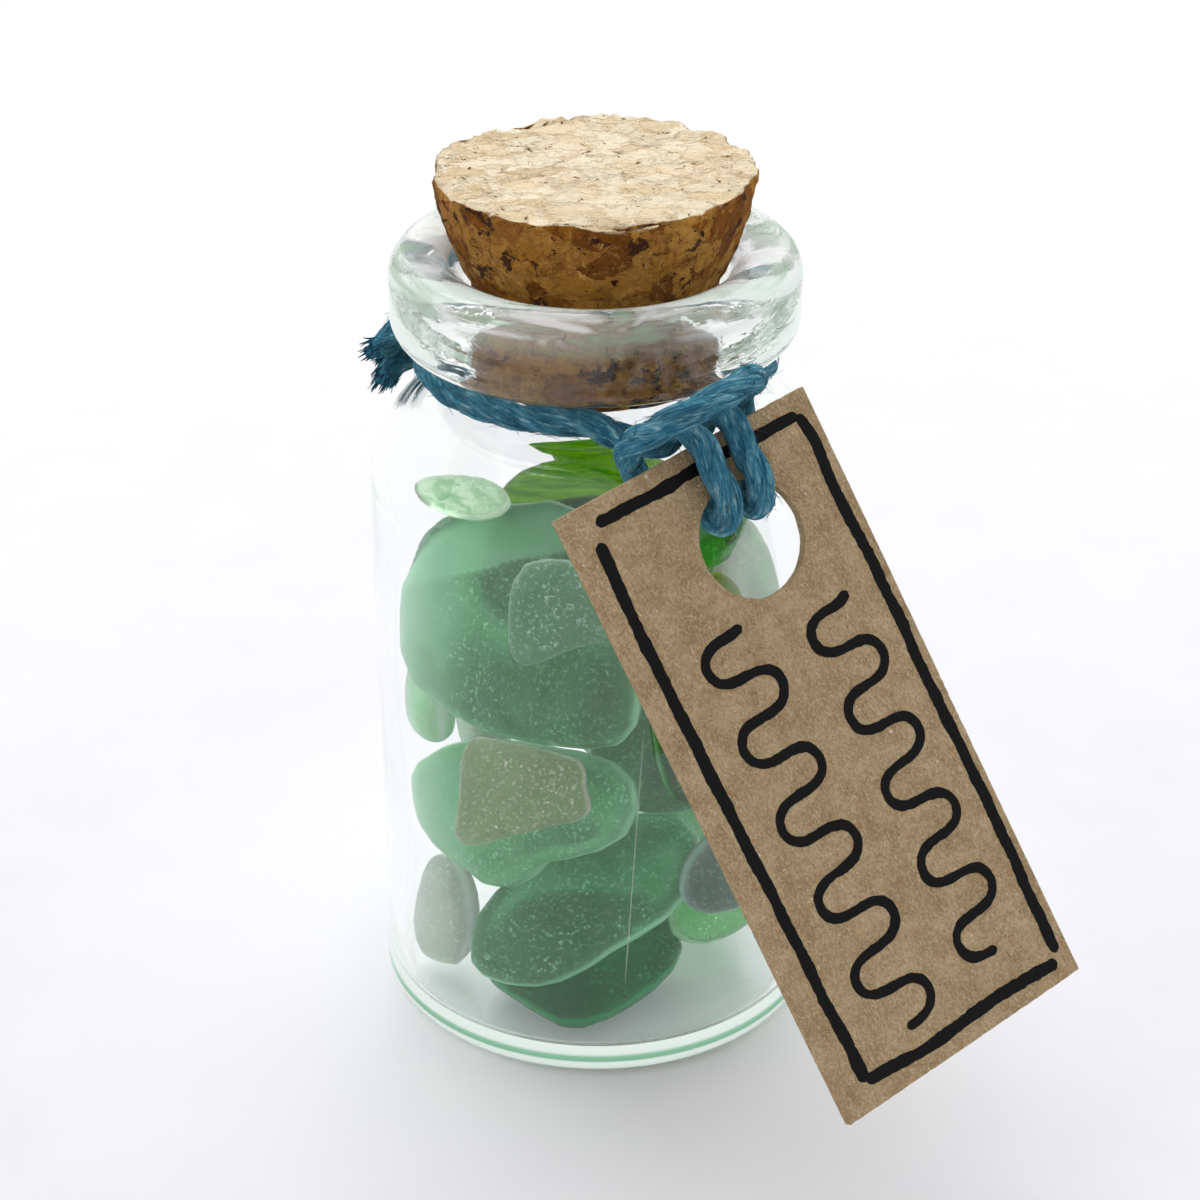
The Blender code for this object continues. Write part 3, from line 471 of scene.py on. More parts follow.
def glass_finish():
    """Clear glass, a little wavy. Light that has gone round in it many times ends as a painted pale glow."""
    look = new_material("vial_glass")
    place = look.place()
    across, depth, level = look.axes(place)

    ripple = look.noise(place, 4.5 * MM, detail=1.0, scale=(1.0, 1.0, 0.4))
    streaks = look.noise(place, 2.6 * MM, distortion=1.2, scale=(1.0, 1.0, 3.2))
    lip = look.span(level, *LIP_WAVES, 0.0, 0.9)
    height = look.math("ADD", ripple, look.times(streaks, lip))
    normal = look.bump(height, 0.1 * MM, 0.3)
    dust = look.ramp(look.noise(place, 0.5 * MM, detail=6.0, roughness=0.7), (0.62, 0.0), (0.8, 0.05))

    clear = (0.99, 1.0, 0.995, 1.0)
    tint = look.ramp(
        look.span(level, 0.0, FOOT_TINT_HEIGHT), (0.4, 0.9), (0.46, (0.05, 0.26, 0.11, 1.0)),
        (0.58, (0.12, 0.36, 0.19, 1.0)), (0.66, (0.94, 0.96, 0.94, 1.0)), (0.8, clear),
    )
    radius = look.vector("LENGTH", look.node("CombineXYZ", {0: across, 1: depth}).outputs[0])
    tint = look.mix(look.math("GREATER_THAN", radius, BODY_RADIUS - FOOT_TINT_DEPTH), clear, tint)
    surface = look.principled(tint, dust, normal, IOR=1.48, Transmission_Weight=1.0)
    surface = look.clear_to_shadows(surface, (0.985, 0.99, 0.987, 1.0))

    # Painted glow: a ray deeper than DEEP_RAY, or past DEEP_GLOSS glossy bounces, ends on an emitted grey-green,
    # streaky in the lip
    light = look.node("LightPath")
    painted_glow_share = look.larger(
        look.math("GREATER_THAN", light.outputs["Ray Depth"], DEEP_RAY),
        look.math("GREATER_THAN", light.outputs["Glossy Depth"], DEEP_GLOSS),
    )
    swirls = look.noise(place, 3.0 * MM, detail=3.0, distortion=1.5, scale=(1.0, 1.0, 2.2))
    painted_glow_tone = look.ramp(
        swirls, (0.4, (0.34, 0.42, 0.36, 1.0)), (0.5, (0.74, 0.8, 0.76, 1.0)), (0.6, (0.98, 1.0, 0.99, 1.0)),
    )
    painted_glow_tone = look.mix(look.times(lip, 1.1), (0.82, 0.88, 0.85, 1.0), painted_glow_tone)
    surface = look.over(painted_glow_share, surface, look.glow(painted_glow_tone))

    # Milky streaks over the lip's top, dark grey-green to white: partly the glass's own swirls and partly painted
    # refraction
    rolled = look.noise(place, 2.4 * MM, detail=4.0, distortion=0.5, scale=(0.6, 0.6, 3.4), turn=(5.0, 4.0, 0.0))
    milk_and_refraction = look.times(look.span(level, *LIP_MILK_AND_REFRACTION), look.ramp(rolled, (0.4, 0.65), (0.5, 0.2), (0.64, 0.7)))
    milk_and_refraction_tone = look.ramp(
        rolled, (0.42, (0.44, 0.56, 0.44, 1.0)), (0.5, (0.8, 0.86, 0.82, 1.0)), (0.6, (0.95, 0.97, 0.96, 1.0)),
    )
    surface = look.over(milk_and_refraction, surface, look.diffuse(milk_and_refraction_tone))

    # Painted highlight: a thin pale line down the front half of the glass, leaning a little with height
    middle = look.node("Math", {0: level, 1: HIGHLIGHT_LEAN, 2: HIGHLIGHT_SIDEWAYS}, operation="MULTIPLY_ADD").outputs[0]
    aside = look.math("ABSOLUTE", look.math("SUBTRACT", across, middle))
    reach = look.ramp(look.times(level, 1.0 / HIGHLIGHT_SPAN), (0.2, 0.0), (0.26, 0.3), (0.7, 0.25), (0.8, 0.0))
    line = look.times(look.span(aside, *HIGHLIGHT_WIDTHS, 1.0, 0.0), reach)
    line = look.times(line, look.math("LESS_THAN", depth, 0.0))
    surface = look.over(line, surface, look.diffuse((0.85, 0.92, 0.87, 1.0)))

    volume = look.node("VolumeAbsorption", {"Color": (0.55, 0.88, 0.66, 1.0), "Density": 9.0}).outputs[0]
    look.owner.cycles.emission_sampling = "NONE"
    return look.done(surface, volume)


def make_bottle():
    mesh = turned_mesh("vial", glass_profile(), GLASS_STEPS)

    def wobble(place, normal):
        size = noise.noise(place * 110.0) * 0.05 * MM
        grip = min(1.0, place.z / (2.0 * MM))
        return normal * size * grip

    shift_points(mesh, wobble)
    add_piece("vial", mesh, glass_finish(), "bottle", "glass_bottle")


def cork_radius(height):
    foot = BOTTLE_HEIGHT - FUNNEL_DEPTH
    top = BOTTLE_HEIGHT + CORK_PROUD
    plug = BORE_RADIUS - CORK_GAP
    share = (height - foot) / (top - foot)
    growth = 1.0
    for (low, low_growth), (high, high_growth) in zip(CORK_FLARE_SHARES, CORK_FLARE_SHARES[1:]):
        if share < high:
            growth = low_growth + (high_growth - low_growth) * max(0.0, share - low) / (high - low)
            break
    radius = plug + (CORK_TOP_RADIUS - plug) * growth
    if height < BOTTLE_HEIGHT:
        radius = min(radius, mouth_radius(height) - CORK_GAP)
    return radius


def cork_profile():
    top = BOTTLE_HEIGHT + CORK_PROUD
    bottom = top - CORK_HEIGHT
    points = [(0.0, bottom), (cork_radius(bottom) - CORK_EDGE, bottom), (cork_radius(bottom), bottom + CORK_EDGE)]
    for index in range(1, CORK_LEVELS):
        height = bottom + CORK_EDGE + (CORK_HEIGHT - 1.4 * CORK_EDGE) * index / CORK_LEVELS
        points.append((cork_radius(height), height))
    points.append((CORK_TOP_RADIUS - 0.1 * CORK_EDGE, top - 0.25 * CORK_EDGE))
    points.append((CORK_TOP_RADIUS - 0.5 * CORK_EDGE, top))
    points.append((0.0, top))
    return evenly(points, 0.22 * MM)


def cork_finish():
    """Pressed granules, each cut at its own slant: pale on top, brown with dark bark on the side, the side's tones
    partly painted shade.
    """
    look = new_material("pressed_cork")
    place = look.place()
    swirl = look.node("TexNoise", {"Vector": place, "Scale": 1100.0, "Detail": 4.0, "Roughness": 0.65})
    push = look.vector("MULTIPLY", swirl.outputs["Color"], (1.1 * MM,) * 3)
    bent = look.vector("ADD", place, push)
    flat = look.stretch(bent, (0.55, 0.9, 0.8), (0.0, 0.0, 18.0))
    granules = look.node("TexVoronoi", {"Vector": flat, "Scale": 900.0})
    borders = look.node("TexVoronoi", {"Vector": flat, "Scale": 900.0}, feature="DISTANCE_TO_EDGE")
    shades = look.node("SeparateColor", {0: granules.outputs["Color"]})
    own = shades.outputs[0]
    within = look.vector("SUBTRACT", flat, granules.outputs["Position"])
    slant = look.vector("SUBTRACT", granules.outputs["Color"], (0.5, 0.5, 0.5))
    facet = look.times(look.vector("DOT_PRODUCT", slant, within), 2.8 / MM)
    across = look.noise(bent, 0.6 * MM, detail=4.0, roughness=0.6, scale=(0.5, 2.0, 1.2), turn=(0.0, 0.0, 15.0))
    along = look.noise(bent, 0.6 * MM, detail=4.0, roughness=0.6, scale=(1.8, 0.6, 1.2), turn=(0.0, 0.0, -35.0))
    grain = look.mix(look.math("GREATER_THAN", shades.outputs[1], 0.55), across, along)
    fine = look.noise(place, 0.15 * MM, detail=5.0, roughness=0.75)
    fold = look.noise(bent, 1.9 * MM, detail=3.0, distortion=0.4, scale=(0.7, 1.2, 1.0), turn=(0.0, 0.0, 8.0))
    folds = look.ramp(look.math("ABSOLUTE", look.math("SUBTRACT", fold, 0.5)), (0.0, 1.0), (0.035, 0.0))
    pale = look.ramp(
        own, (0.0, (228, 206, 168)), (0.3, (244, 228, 196)), (0.7, (252, 240, 212)), (1.0, (238, 216, 178)),
    )
    side_brown_and_shade = look.ramp(
        own, (0.0, (112, 62, 4)), (0.3, (156, 98, 16)), (0.65, (198, 146, 64)), (1.0, (146, 88, 18)),
    )
    upward = look.span(look.axes(look.node("NewGeometry").outputs["Normal"])[2], 0.6, 0.85)
    seam_noise = look.ramp(look.noise(place, 1.1 * MM), (0.42, 0.0), (0.58, 1.0))
    seams = look.times(look.ramp(borders.outputs["Distance"], (0.0, 0.4), (0.1, 0.0)), seam_noise)
    bark = look.noise(bent, 1.7 * MM, detail=4.0, roughness=0.7, distortion=0.6, scale=(1.0, 1.0, 1.3))
    side_bark = look.ramp(bark, (0.58, 0.0), (0.61, 0.95))
    top_bark = look.ramp(bark, (0.68, 0.0), (0.72, 0.5))
    pits = look.noise(place, 0.55 * MM, detail=3.0, roughness=0.6, distortion=0.5)
    hollow = look.ramp(pits, (0.66, 0.0), (0.69, 1.0))

    # Each tone has a top and a side copy; the side's is darker, partly the cork's own browner side and partly painted
    # shade
    def tone(side, top):
        return look.mix(upward, srgb(*side), srgb(*top))

    streak_tone = tone((104, 56, 8), (222, 192, 142))
    colour = look.layered(
        look.mix(upward, side_brown_and_shade, pale),
        (look.ramp(grain, (0.3, 0.8), (0.47, 0.0)), streak_tone),
        (look.ramp(grain, (0.55, 0.0), (0.75, 0.8)), tone((218, 172, 96), (254, 242, 216))),
        (seams, tone((86, 42, 6), (196, 152, 98))),
        (look.ramp(fine, (0.3, 0.45), (0.46, 0.0)), streak_tone),
        (look.times(folds, 0.14), streak_tone),
        (look.mix(upward, side_bark, top_bark), tone((60, 26, 6), (178, 134, 82))),
        (hollow, tone((50, 24, 6), (126, 84, 40))),
    )
    height = look.math("ADD", look.times(grain, 0.8), look.times(fine, 0.25))
    height = look.math("ADD", height, look.math("SUBTRACT", facet, look.times(folds, 0.3)))
    height = look.math("SUBTRACT", height, look.math("ADD", hollow, look.times(seams, 0.6)))
    normal = look.bump(height, 0.34 * MM, 0.9)
    return look.done(look.principled(colour, 0.88, normal, Specular_IOR_Level=0.25))


def make_cork():
    mesh = turned_mesh("stopper", cork_profile(), CORK_STEPS)
    top = BOTTLE_HEIGHT + CORK_PROUD

    def crumble(place, normal):
        rim = max(0.0, 1.0 - abs(place.z - top) / (0.55 * MM)) * min(1.0, place.xy.length / CORK_TOP_RADIUS) ** 10
        rough = noise.noise(place * 900.0) * 0.5 + noise.noise(place * 2200.0) * 0.35
        free = min(1.0, max(0.0, (place.z - BOTTLE_HEIGHT + 1.0 * MM) / (1.0 * MM)))
        size = rough * (0.05 + 0.14 * free + 0.2 * rim)
        bite = max(0.0, noise.noise(place * 480.0 + Vector((3.0, 1.0, 7.0))) - 0.1) * 1.1 * rim
        bite += max(0.0, noise.noise(place * 1300.0 + Vector((1.0, 6.0, 2.0))) - 0.1) * 0.7 * rim
        return normal * (size - bite) * MM

    shift_points(mesh, crumble)
    add_piece("stopper", mesh, cork_finish(), "cork", "cork_stopper")


def twine_ring():
    radius = NECK_RADIUS + TWINE_GAP + TWINE_DIAMETER / 2
    return radius, BOTTLE_HEIGHT - LIP_HEIGHT - TWINE_BELOW_LIP


def tag_frame():
    """The tag's pivot, and its axes to the right, up along the card and out of its front."""
    azimuth = math.radians(TAG_AZIMUTH)
    lean = math.radians(TAG_LEAN)
    outward = Vector((math.cos(azimuth), math.sin(azimuth), 0.0))
    front = outward * math.cos(lean) + Vector((0.0, 0.0, math.sin(lean)))
    along = Vector((-math.sin(azimuth), math.cos(azimuth), 0.0))
    rise = front.cross(along)
    roll = math.radians(TAG_ROLL)
    right = along * math.cos(roll) + rise * math.sin(roll)
    up = rise * math.cos(roll) - along * math.sin(roll)
    radius, height = twine_ring()
    nearest = outward * radius + Vector((0.0, 0.0, height))
    stand_off = 1.5 * TWINE_DIAMETER + TWINE_SELF_GAP + TWINE_GAP + TAG_THICKNESS / 2 + TAG_OFF_LIP
    return nearest + front * stand_off - rise * TAG_DROP + along * TAG_SHIFT, right, up, front


def ring_points(start, end, steps):
    radius, height = twine_ring()
    return [Vector((x, y, height)) for x, y in arc((0.0, 0.0), radius, start, end, steps)]


def smooth_route(points, spacing):
    """Points at even spacing along a smooth curve through the given points."""
    ends = [2 * points[0] - points[1], *points, 2 * points[-1] - points[-2]]
    fine = []
    for before, start, end, after in zip(ends, ends[1:], ends[2:], ends[3:]):
        for index in range(16):
            t = index / 16
            fine.append(
                0.5 * (
                    2 * start + (end - before) * t
                    + (2 * before - 5 * start + 4 * end - after) * t ** 2
                    + (3 * start - before - 3 * end + after) * t ** 3
                )
            )
    fine.append(points[-1])
    lengths = [0.0]
    for first, second in zip(fine, fine[1:]):
        lengths.append(lengths[-1] + (second - first).length)
    count = max(2, round(lengths[-1] / spacing))
    route = []
    place = 0
    for index in range(count + 1):
        wanted = lengths[-1] * index / count
        while place < len(fine) - 2 and lengths[place + 1] < wanted:
            place += 1
        share = (wanted - lengths[place]) / max(lengths[place + 1] - lengths[place], 1e-12)
        route.append(fine[place].lerp(fine[place + 1], min(1.0, share)))
    return route


def knot_strand(side):
    start = Vector(KNOT_START)
    end = Vector(KNOT_END)
    along = (end - start).normalized()
    inward = along.cross(Vector((0.0, 0.0, 1.0))).normalized()
    upward = inward.cross(along)
    points = []
    for index in range(9):
        share = index / 8
        angle = math.tau * KNOT_TURNS * share + side * math.pi / 2
        offset = inward * math.cos(angle) + upward * math.sin(angle)
        points.append((start.lerp(end, share) + offset * KNOT_RADIUS) * MM)
    return points


def in_mm(points):
    return [Vector(point) * MM for point in points]


def twine_route():
    pivot, right, up, front = tag_frame()
    points = in_mm(FIRST_TAIL)
    points += reversed(knot_strand(-1))
    points += in_mm(FIRST_END_BACK)
    points += ring_points(*FRONT_TURN)
    points += [pivot + (right * x + up * y + front * z) * MM for x, y, z in HITCH_POINTS]
    points += ring_points(*BACK_TURN)
    points += in_mm(SECOND_END_IN)
    points += knot_strand(1)
    points += in_mm(SECOND_TAIL)
    return smooth_route(smooth_route(points, 0.8 * MM), 0.16 * MM)


def route_frames(route):
    """The direction and two crosswise axes at each point, carried along without twisting."""
    frames = []
    across = Vector((0.0, 0.0, 1.0))
    for index, point in enumerate(route):
        ahead = route[min(index + 1, len(route) - 1)] - route[max(index - 1, 0)]
        ahead.normalize()
        across = (across - ahead * across.dot(ahead)).normalized()
        frames.append((ahead, across, ahead.cross(across)))
    return frames


def add_tube(shape, uv, centres, frames, radii, sides):
    """A closed tube along the centres; its UV runs along it in mm, and round it."""
    rings = []
    travelled = [0.0]
    for first, second in zip(centres, centres[1:]):
        travelled.append(travelled[-1] + (second - first).length / MM)
    for centre, (_, across, over), radius in zip(centres, frames, radii):
        ring = []
        for side in range(sides):
            angle = math.tau * side / sides
            ring.append(shape.verts.new(centre + (across * math.cos(angle) + over * math.sin(angle)) * radius))
        rings.append(ring)
    for index, (low, high) in enumerate(zip(rings, rings[1:])):
        for side in range(sides):
            after = (side + 1) % sides
            face = shape.faces.new((low[side], low[after], high[after], high[side]))
            face.smooth = True
            corners = ((index, side), (index, side + 1), (index + 1, side + 1), (index + 1, side))
            for loop, (row, column) in zip(face.loops, corners):
                loop[uv].uv = (travelled[row], column / sides)
    shape.faces.new(list(reversed(rings[0])))
    shape.faces.new(rings[-1])


def twine_finish():
    look = new_material("twisted_twine")
    uv = look.node("TexCoord").outputs["UV"]
    fibres = look.noise(uv, 1.0, detail=6.0, roughness=0.7, distortion=0.7, scale=(1.1, 11.0, 1.0))
    lines = look.noise(uv, 1.0, detail=4.0, roughness=0.7, scale=(0.5, 22.0, 1.0))
    patches = look.noise(look.place(), 1.1 * MM, detail=3.0)
    colour = look.ramp(
        fibres, (0.3, (6, 62, 94)), (0.42, (40, 118, 150)), (0.54, (92, 162, 186)), (0.66, (190, 226, 232)),
    )
    colour = look.layered(
        colour, (look.ramp(lines, (0.38, 0.6), (0.54, 0.0)), srgb(0, 50, 82)),
        (look.ramp(patches, (0.45, 0.0), (0.7, 0.3)), srgb(96, 170, 190)),
    )
    height = look.math("ADD", fibres, look.times(lines, 0.9))
    normal = look.bump(height, 0.22 * MM, 1.0)
    sheen = {"Sheen_Weight": 0.3, "Sheen_Tint": (0.3, 0.72, 0.9, 1.0)}
    return look.done(look.principled(colour, 0.9, normal, Specular_IOR_Level=0.15, **sheen))


def make_twine(finish):
    route = twine_route()
    frames = route_frames(route)
    length = len(route)
    shape = bmesh.new()
    uv = shape.loops.layers.uv.new("along")
    step = (route[1] - route[0]).length
    for ply in range(PLIES):
        centres = []
        radii = []
        for index, (point, (_, across, over)) in enumerate(zip(route, frames)):
            travelled = index * step
            wander = 0.5 * noise.noise(Vector((travelled / (4.0 * MM), 4.0, ply * 3.0)))
            angle = math.tau * (travelled / PLY_PITCH + ply / PLIES) + wander
            swell = 1.0 + 0.1 * noise.noise(Vector((travelled / (1.1 * MM), ply * 9.0, 2.0)))
            reach = PLY_REACH * swell
            centres.append(point + (across * math.cos(angle) + over * math.sin(angle)) * reach)
            end = min(index, length - 1 - index)
            radii.append(PLY_RADIUS * swell * min(1.0, 0.75 + end * 0.03))
        add_tube(shape, uv, centres, route_frames(centres), radii, 14)
    mesh = as_mesh("twine", shape)
    add_piece("twine", mesh, finish, "bottle", "neck_twine")


def make_fibres(finish):
    """Loose hairs along the twine, and the frayed brushes at its two cut ends."""
    rng = random.Random(11)
    route = twine_route()
    frames = route_frames(route)
    shape = bmesh.new()
    uv = shape.loops.layers.uv.new("along")
    radius = TWINE_DIAMETER / 2

    def hair(start, direction, bend, length, thickness):
        points = []
        for index in range(6):
            share = index / 5
            points.append(start + direction * length * share + bend * length * share * share)
        radii = [thickness * (1.0 - 0.7 * index / 5) for index in range(6)]
        add_tube(shape, uv, points, route_frames(points), radii, 4)

    for _ in range(LOOSE_HAIRS):
        index = rng.randrange(6, len(route) - 6)
        ahead, across, over = frames[index]
        angle = rng.uniform(0.0, math.tau)
        out = across * math.cos(angle) + over * math.sin(angle)
        round_it = ahead.cross(out)
        sideways = rng.uniform(-0.6, 0.6)
        direction = ahead * rng.choice((-1.0, 1.0)) + out * rng.uniform(-0.05, 0.22) + round_it * sideways
        bend = out * rng.uniform(-0.45, 0.15) + round_it * rng.uniform(-0.5, 0.5)
        start = route[index] + out * radius * 0.9
        hair(start, direction.normalized(), bend, rng.uniform(0.4, 1.3) * MM, rng.uniform(0.012, 0.03) * MM)
    for end, sign in ((0, -1.0), (len(route) - 1, 1.0)):
        ahead, across, over = frames[end]
        for _ in range(END_HAIRS):
            angle = rng.uniform(0.0, math.tau)
            out = across * math.cos(angle) + over * math.sin(angle)
            spread = math.sqrt(rng.random())
            start = route[end] + out * radius * 0.85 * spread - ahead * sign * 0.4 * MM
            direction = (ahead * sign + out * spread * 0.2).normalized()
            bend = out * rng.uniform(-0.2, 0.2)
            hair(start, direction, bend, rng.uniform(0.5, 0.95) * MM, rng.uniform(0.05, 0.09) * MM)
    mesh = as_mesh("twine_fibres", shape)
    add_piece("twine_fibres", mesh, finish, "bottle", None)


def card_to_world():
    """Places given from the card's top left corner, right, down and out of its front, in the shared frame."""
    pivot, right, up, front = tag_frame()
    left = -TAG_HOLE_OFFSET - TAG_WIDTH / 2
    top = -PIVOT_ABOVE_HOLE + TAG_HOLE_FROM_TOP
    corner = pivot + right * left + up * top
    turn = Matrix((right, -up, -front)).transposed().to_4x4()
    return Matrix.Translation(corner) @ turn @ Matrix.Scale(-1.0, 4, (0.0, 0.0, 1.0))


def card_warp(x, y):
    """How far the card's middle lies off a flat plane."""
    return (0.05 * math.sin(x / (5.0 * MM)) + 0.05 * math.sin(y / (8.0 * MM) + 1.0)) * MM


def kraft_finish():
    look = new_material("kraft_card")
    place = look.place()
    fibres = None
    for angle, seed in ((8.0, 0.0), (52.0, 3.1), (97.0, 7.7), (141.0, 12.3)):
        turned = look.stretch(place, (1.0, 1.0, 1.0), (angle, 17.0, angle))
        moved = look.vector("ADD", turned, (seed, seed, seed))
        layer = look.noise(moved, 0.2 * MM, scale=(0.22, 1.9, 1.9))
        streak = look.ramp(layer, (0.55, 0.0), (0.72, 1.0))
        fibres = streak if fibres is None else look.mix(1.0, fibres, streak, "LIGHTEN")
    cloud = look.noise(place, 1.3 * MM, detail=6.0, roughness=0.7)
    grain = look.noise(place, 0.16 * MM, detail=4.0, roughness=0.7)
    colour = look.ramp(cloud, (0.34, (158, 131, 92)), (0.5, (184, 158, 118)), (0.66, (206, 182, 142)))
    specks = look.noise(place, 0.4 * MM, detail=1.0)
    dark = look.noise(place, 0.42 * MM, detail=1.5, scale=(1.0, 1.7, 1.0), turn=(30.0, 0.0, 40.0))
    colour = look.layered(
        colour, (look.ramp(grain, (0.34, 0.7), (0.6, 0.0)), srgb(140, 110, 74)),
        (look.times(fibres, 0.75), srgb(218, 197, 163)),
        (look.ramp(specks, (0.77, 0.0), (0.8, 0.85)), srgb(240, 230, 212)),
        (look.ramp(dark, (0.76, 0.0), (0.8, 0.7)), srgb(92, 64, 38)),
    )
    normal = look.bump(look.math("ADD", fibres, grain), 0.07 * MM, 0.8)
    return look.done(look.principled(colour, 0.92, normal, Specular_IOR_Level=0.2))


def make_card():
    """The card as a closed sheet with a punched hole, its edges a little worn."""
    shape = bmesh.new()
    hole = Vector((TAG_WIDTH / 2 + TAG_HOLE_OFFSET, TAG_HOLE_FROM_TOP))
    for side in (0, 1):
        rows = []
        for row in range(CARD_ROWS + 1):
            y = TAG_LENGTH * row / CARD_ROWS
            line = []
            for column in range(CARD_COLUMNS + 1):
                x = TAG_WIDTH * column / CARD_COLUMNS
                punched = (Vector((x, y)) - hole).length < TAG_HOLE_RADIUS
                line.append(None if punched else shape.verts.new((x, y, (side - 0.5) * TAG_THICKNESS)))
            rows.append(line)
        for above, below in zip(rows, rows[1:]):
            for column in range(CARD_COLUMNS):
                corners = [above[column], above[column + 1], below[column + 1], below[column]]
                if None not in corners:
                    shape.faces.new(corners if side else reversed(corners))
    loose = [vert for vert in shape.verts if not vert.link_faces]
    bmesh.ops.delete(shape, geom=loose, context="VERTS")
    facing_pairs = {}
    for edge in [edge for edge in shape.edges if len(edge.link_faces) == 1]:
        middle = (edge.verts[0].co + edge.verts[1].co) / 2
        away = middle.xy - hole
        if away.length < TAG_HOLE_RADIUS + 1.0 * MM:
            for vert in edge.verts:
                vert.co.xy = (vert.co.xy - hole).normalized() * TAG_HOLE_RADIUS + hole
        key = tuple(round(value / (0.001 * MM)) for value in middle.xy)
        facing_pairs.setdefault(key, []).append(edge)
    for pair in facing_pairs.values():
        if len(pair) == 2:
            bmesh.ops.bridge_loops(shape, edges=pair)
    bmesh.ops.recalc_face_normals(shape, faces=shape.faces)
    for vert in shape.verts:
        x, y = vert.co.x, vert.co.y
        edge = min(x, TAG_WIDTH - x, y, TAG_LENGTH - y, (vert.co.xy - hole).length - TAG_HOLE_RADIUS)
        if edge < 0.05 * MM:
            fray = noise.noise(Vector((x, y, 0.0)) * 1800.0) * 0.06 * MM
            away = vert.co.xy - hole
            if away.length < TAG_HOLE_RADIUS + 0.05 * MM:
                push = -away.normalized()
            else:
                push = Vector((TAG_WIDTH / 2 - x, TAG_LENGTH / 2 - y)).normalized()
            vert.co.x += push.x * abs(fray)
            vert.co.y += push.y * abs(fray)
        vert.co.z += card_warp(x, y)
    mesh = as_mesh("card", shape)
    mesh.transform(card_to_world())
    mesh.shade_smooth()
    mesh.set_sharp_from_angle(angle=math.radians(40.0))
    add_piece("card", mesh, kraft_finish(), "tag", "tag_card")


def ink_finish():
    look = new_material("pen_ink")
    place = look.place()
    soak = look.noise(place, 0.22 * MM, detail=4.0, roughness=0.7)
    colour = look.ramp(soak, (0.3, (6, 6, 8)), (0.62, (14, 14, 16)), (0.82, (46, 42, 40)))
    normal = look.bump(soak, 0.03 * MM, 0.6)
    return look.done(look.principled(colour, 0.7, normal, Specular_IOR_Level=0.15))


def hand_line(points, seed):
    """A drawn line's points, closer together and a little unsteady, with a width at each."""
    route = smooth_route([Vector((x, y, 0.0)) * MM for x, y in points], 0.12 * MM)
    line = []
    for index, point in enumerate(route):
        slow = index * 0.05
        shake = Vector((noise.noise(Vector((slow, seed, 0.0))), noise.noise(Vector((slow, seed, 5.0))), 0.0))
        width = PEN_WIDTH * (1.0 + 0.22 * noise.noise(Vector((index * 0.11, seed, 9.0))))
        line.append((point + shake * 0.09 * MM, width))
    return line


def add_stroke(shape, line):
    """A flat ribbon of ink with round ends, lying on the card's front."""
    lift = 0.5 * TAG_THICKNESS + 0.012 * MM
    points = [point for point, _ in line]
    left = []
    right = []
    count = len(line)
    for index, (point, width) in enumerate(line):
        ahead = points[min(index + 1, count - 1)] - points[max(index - 1, 0)]
        side = Vector((-ahead.y, ahead.x, 0.0)).normalized()
        end = min(index, count - 1 - index) * 0.12 * MM
        half = width / 2 * math.sqrt(max(0.05, 1.0 - max(0.0, 1.0 - end / (width / 2)) ** 2))
        for row, sign in ((left, 1.0), (right, -1.0)):
            rough = 1.0 + 0.16 * noise.noise(Vector((point.x, point.y, sign * 0.002)) * 4200.0)
            place = point + side * half * sign * rough
            row.append(shape.verts.new((place.x, place.y, lift + card_warp(place.x, place.y))))
    for index in range(count - 1):
        shape.faces.new((left[index], left[index + 1], right[index + 1], right[index]))


def wave_strokes():
    """Plain wavy lines, drawn by hand in two rows along the card, where the real one is written on."""
    strokes = []
    for across, swing, phase, top, bottom in WAVES:
        points = []
        for index in range(WAVE_STEPS + 1):
            down = top + (bottom - top) * index / WAVE_STEPS
            turn = math.tau * (down / WAVE_PITCH + phase)
            points.append((across + swing * math.sin(turn), down - 0.3 * math.sin(2 * turn)))
        strokes.append(points)
    return strokes


def make_ink():
    shape = bmesh.new()
    for seed, points in enumerate(list(PEN_BORDER) + wave_strokes()):
        share = 1.0 if seed < len(PEN_BORDER) else WAVE_PEN_SHARE
        add_stroke(shape, [(point, width * share) for point, width in hand_line(points, 3.7 * seed + 1.3)])
    mesh = as_mesh("pen_strokes", shape)
    mesh.transform(card_to_world())
    mesh.shade_smooth()
    add_piece("pen_strokes", mesh, ink_finish(), "tag")


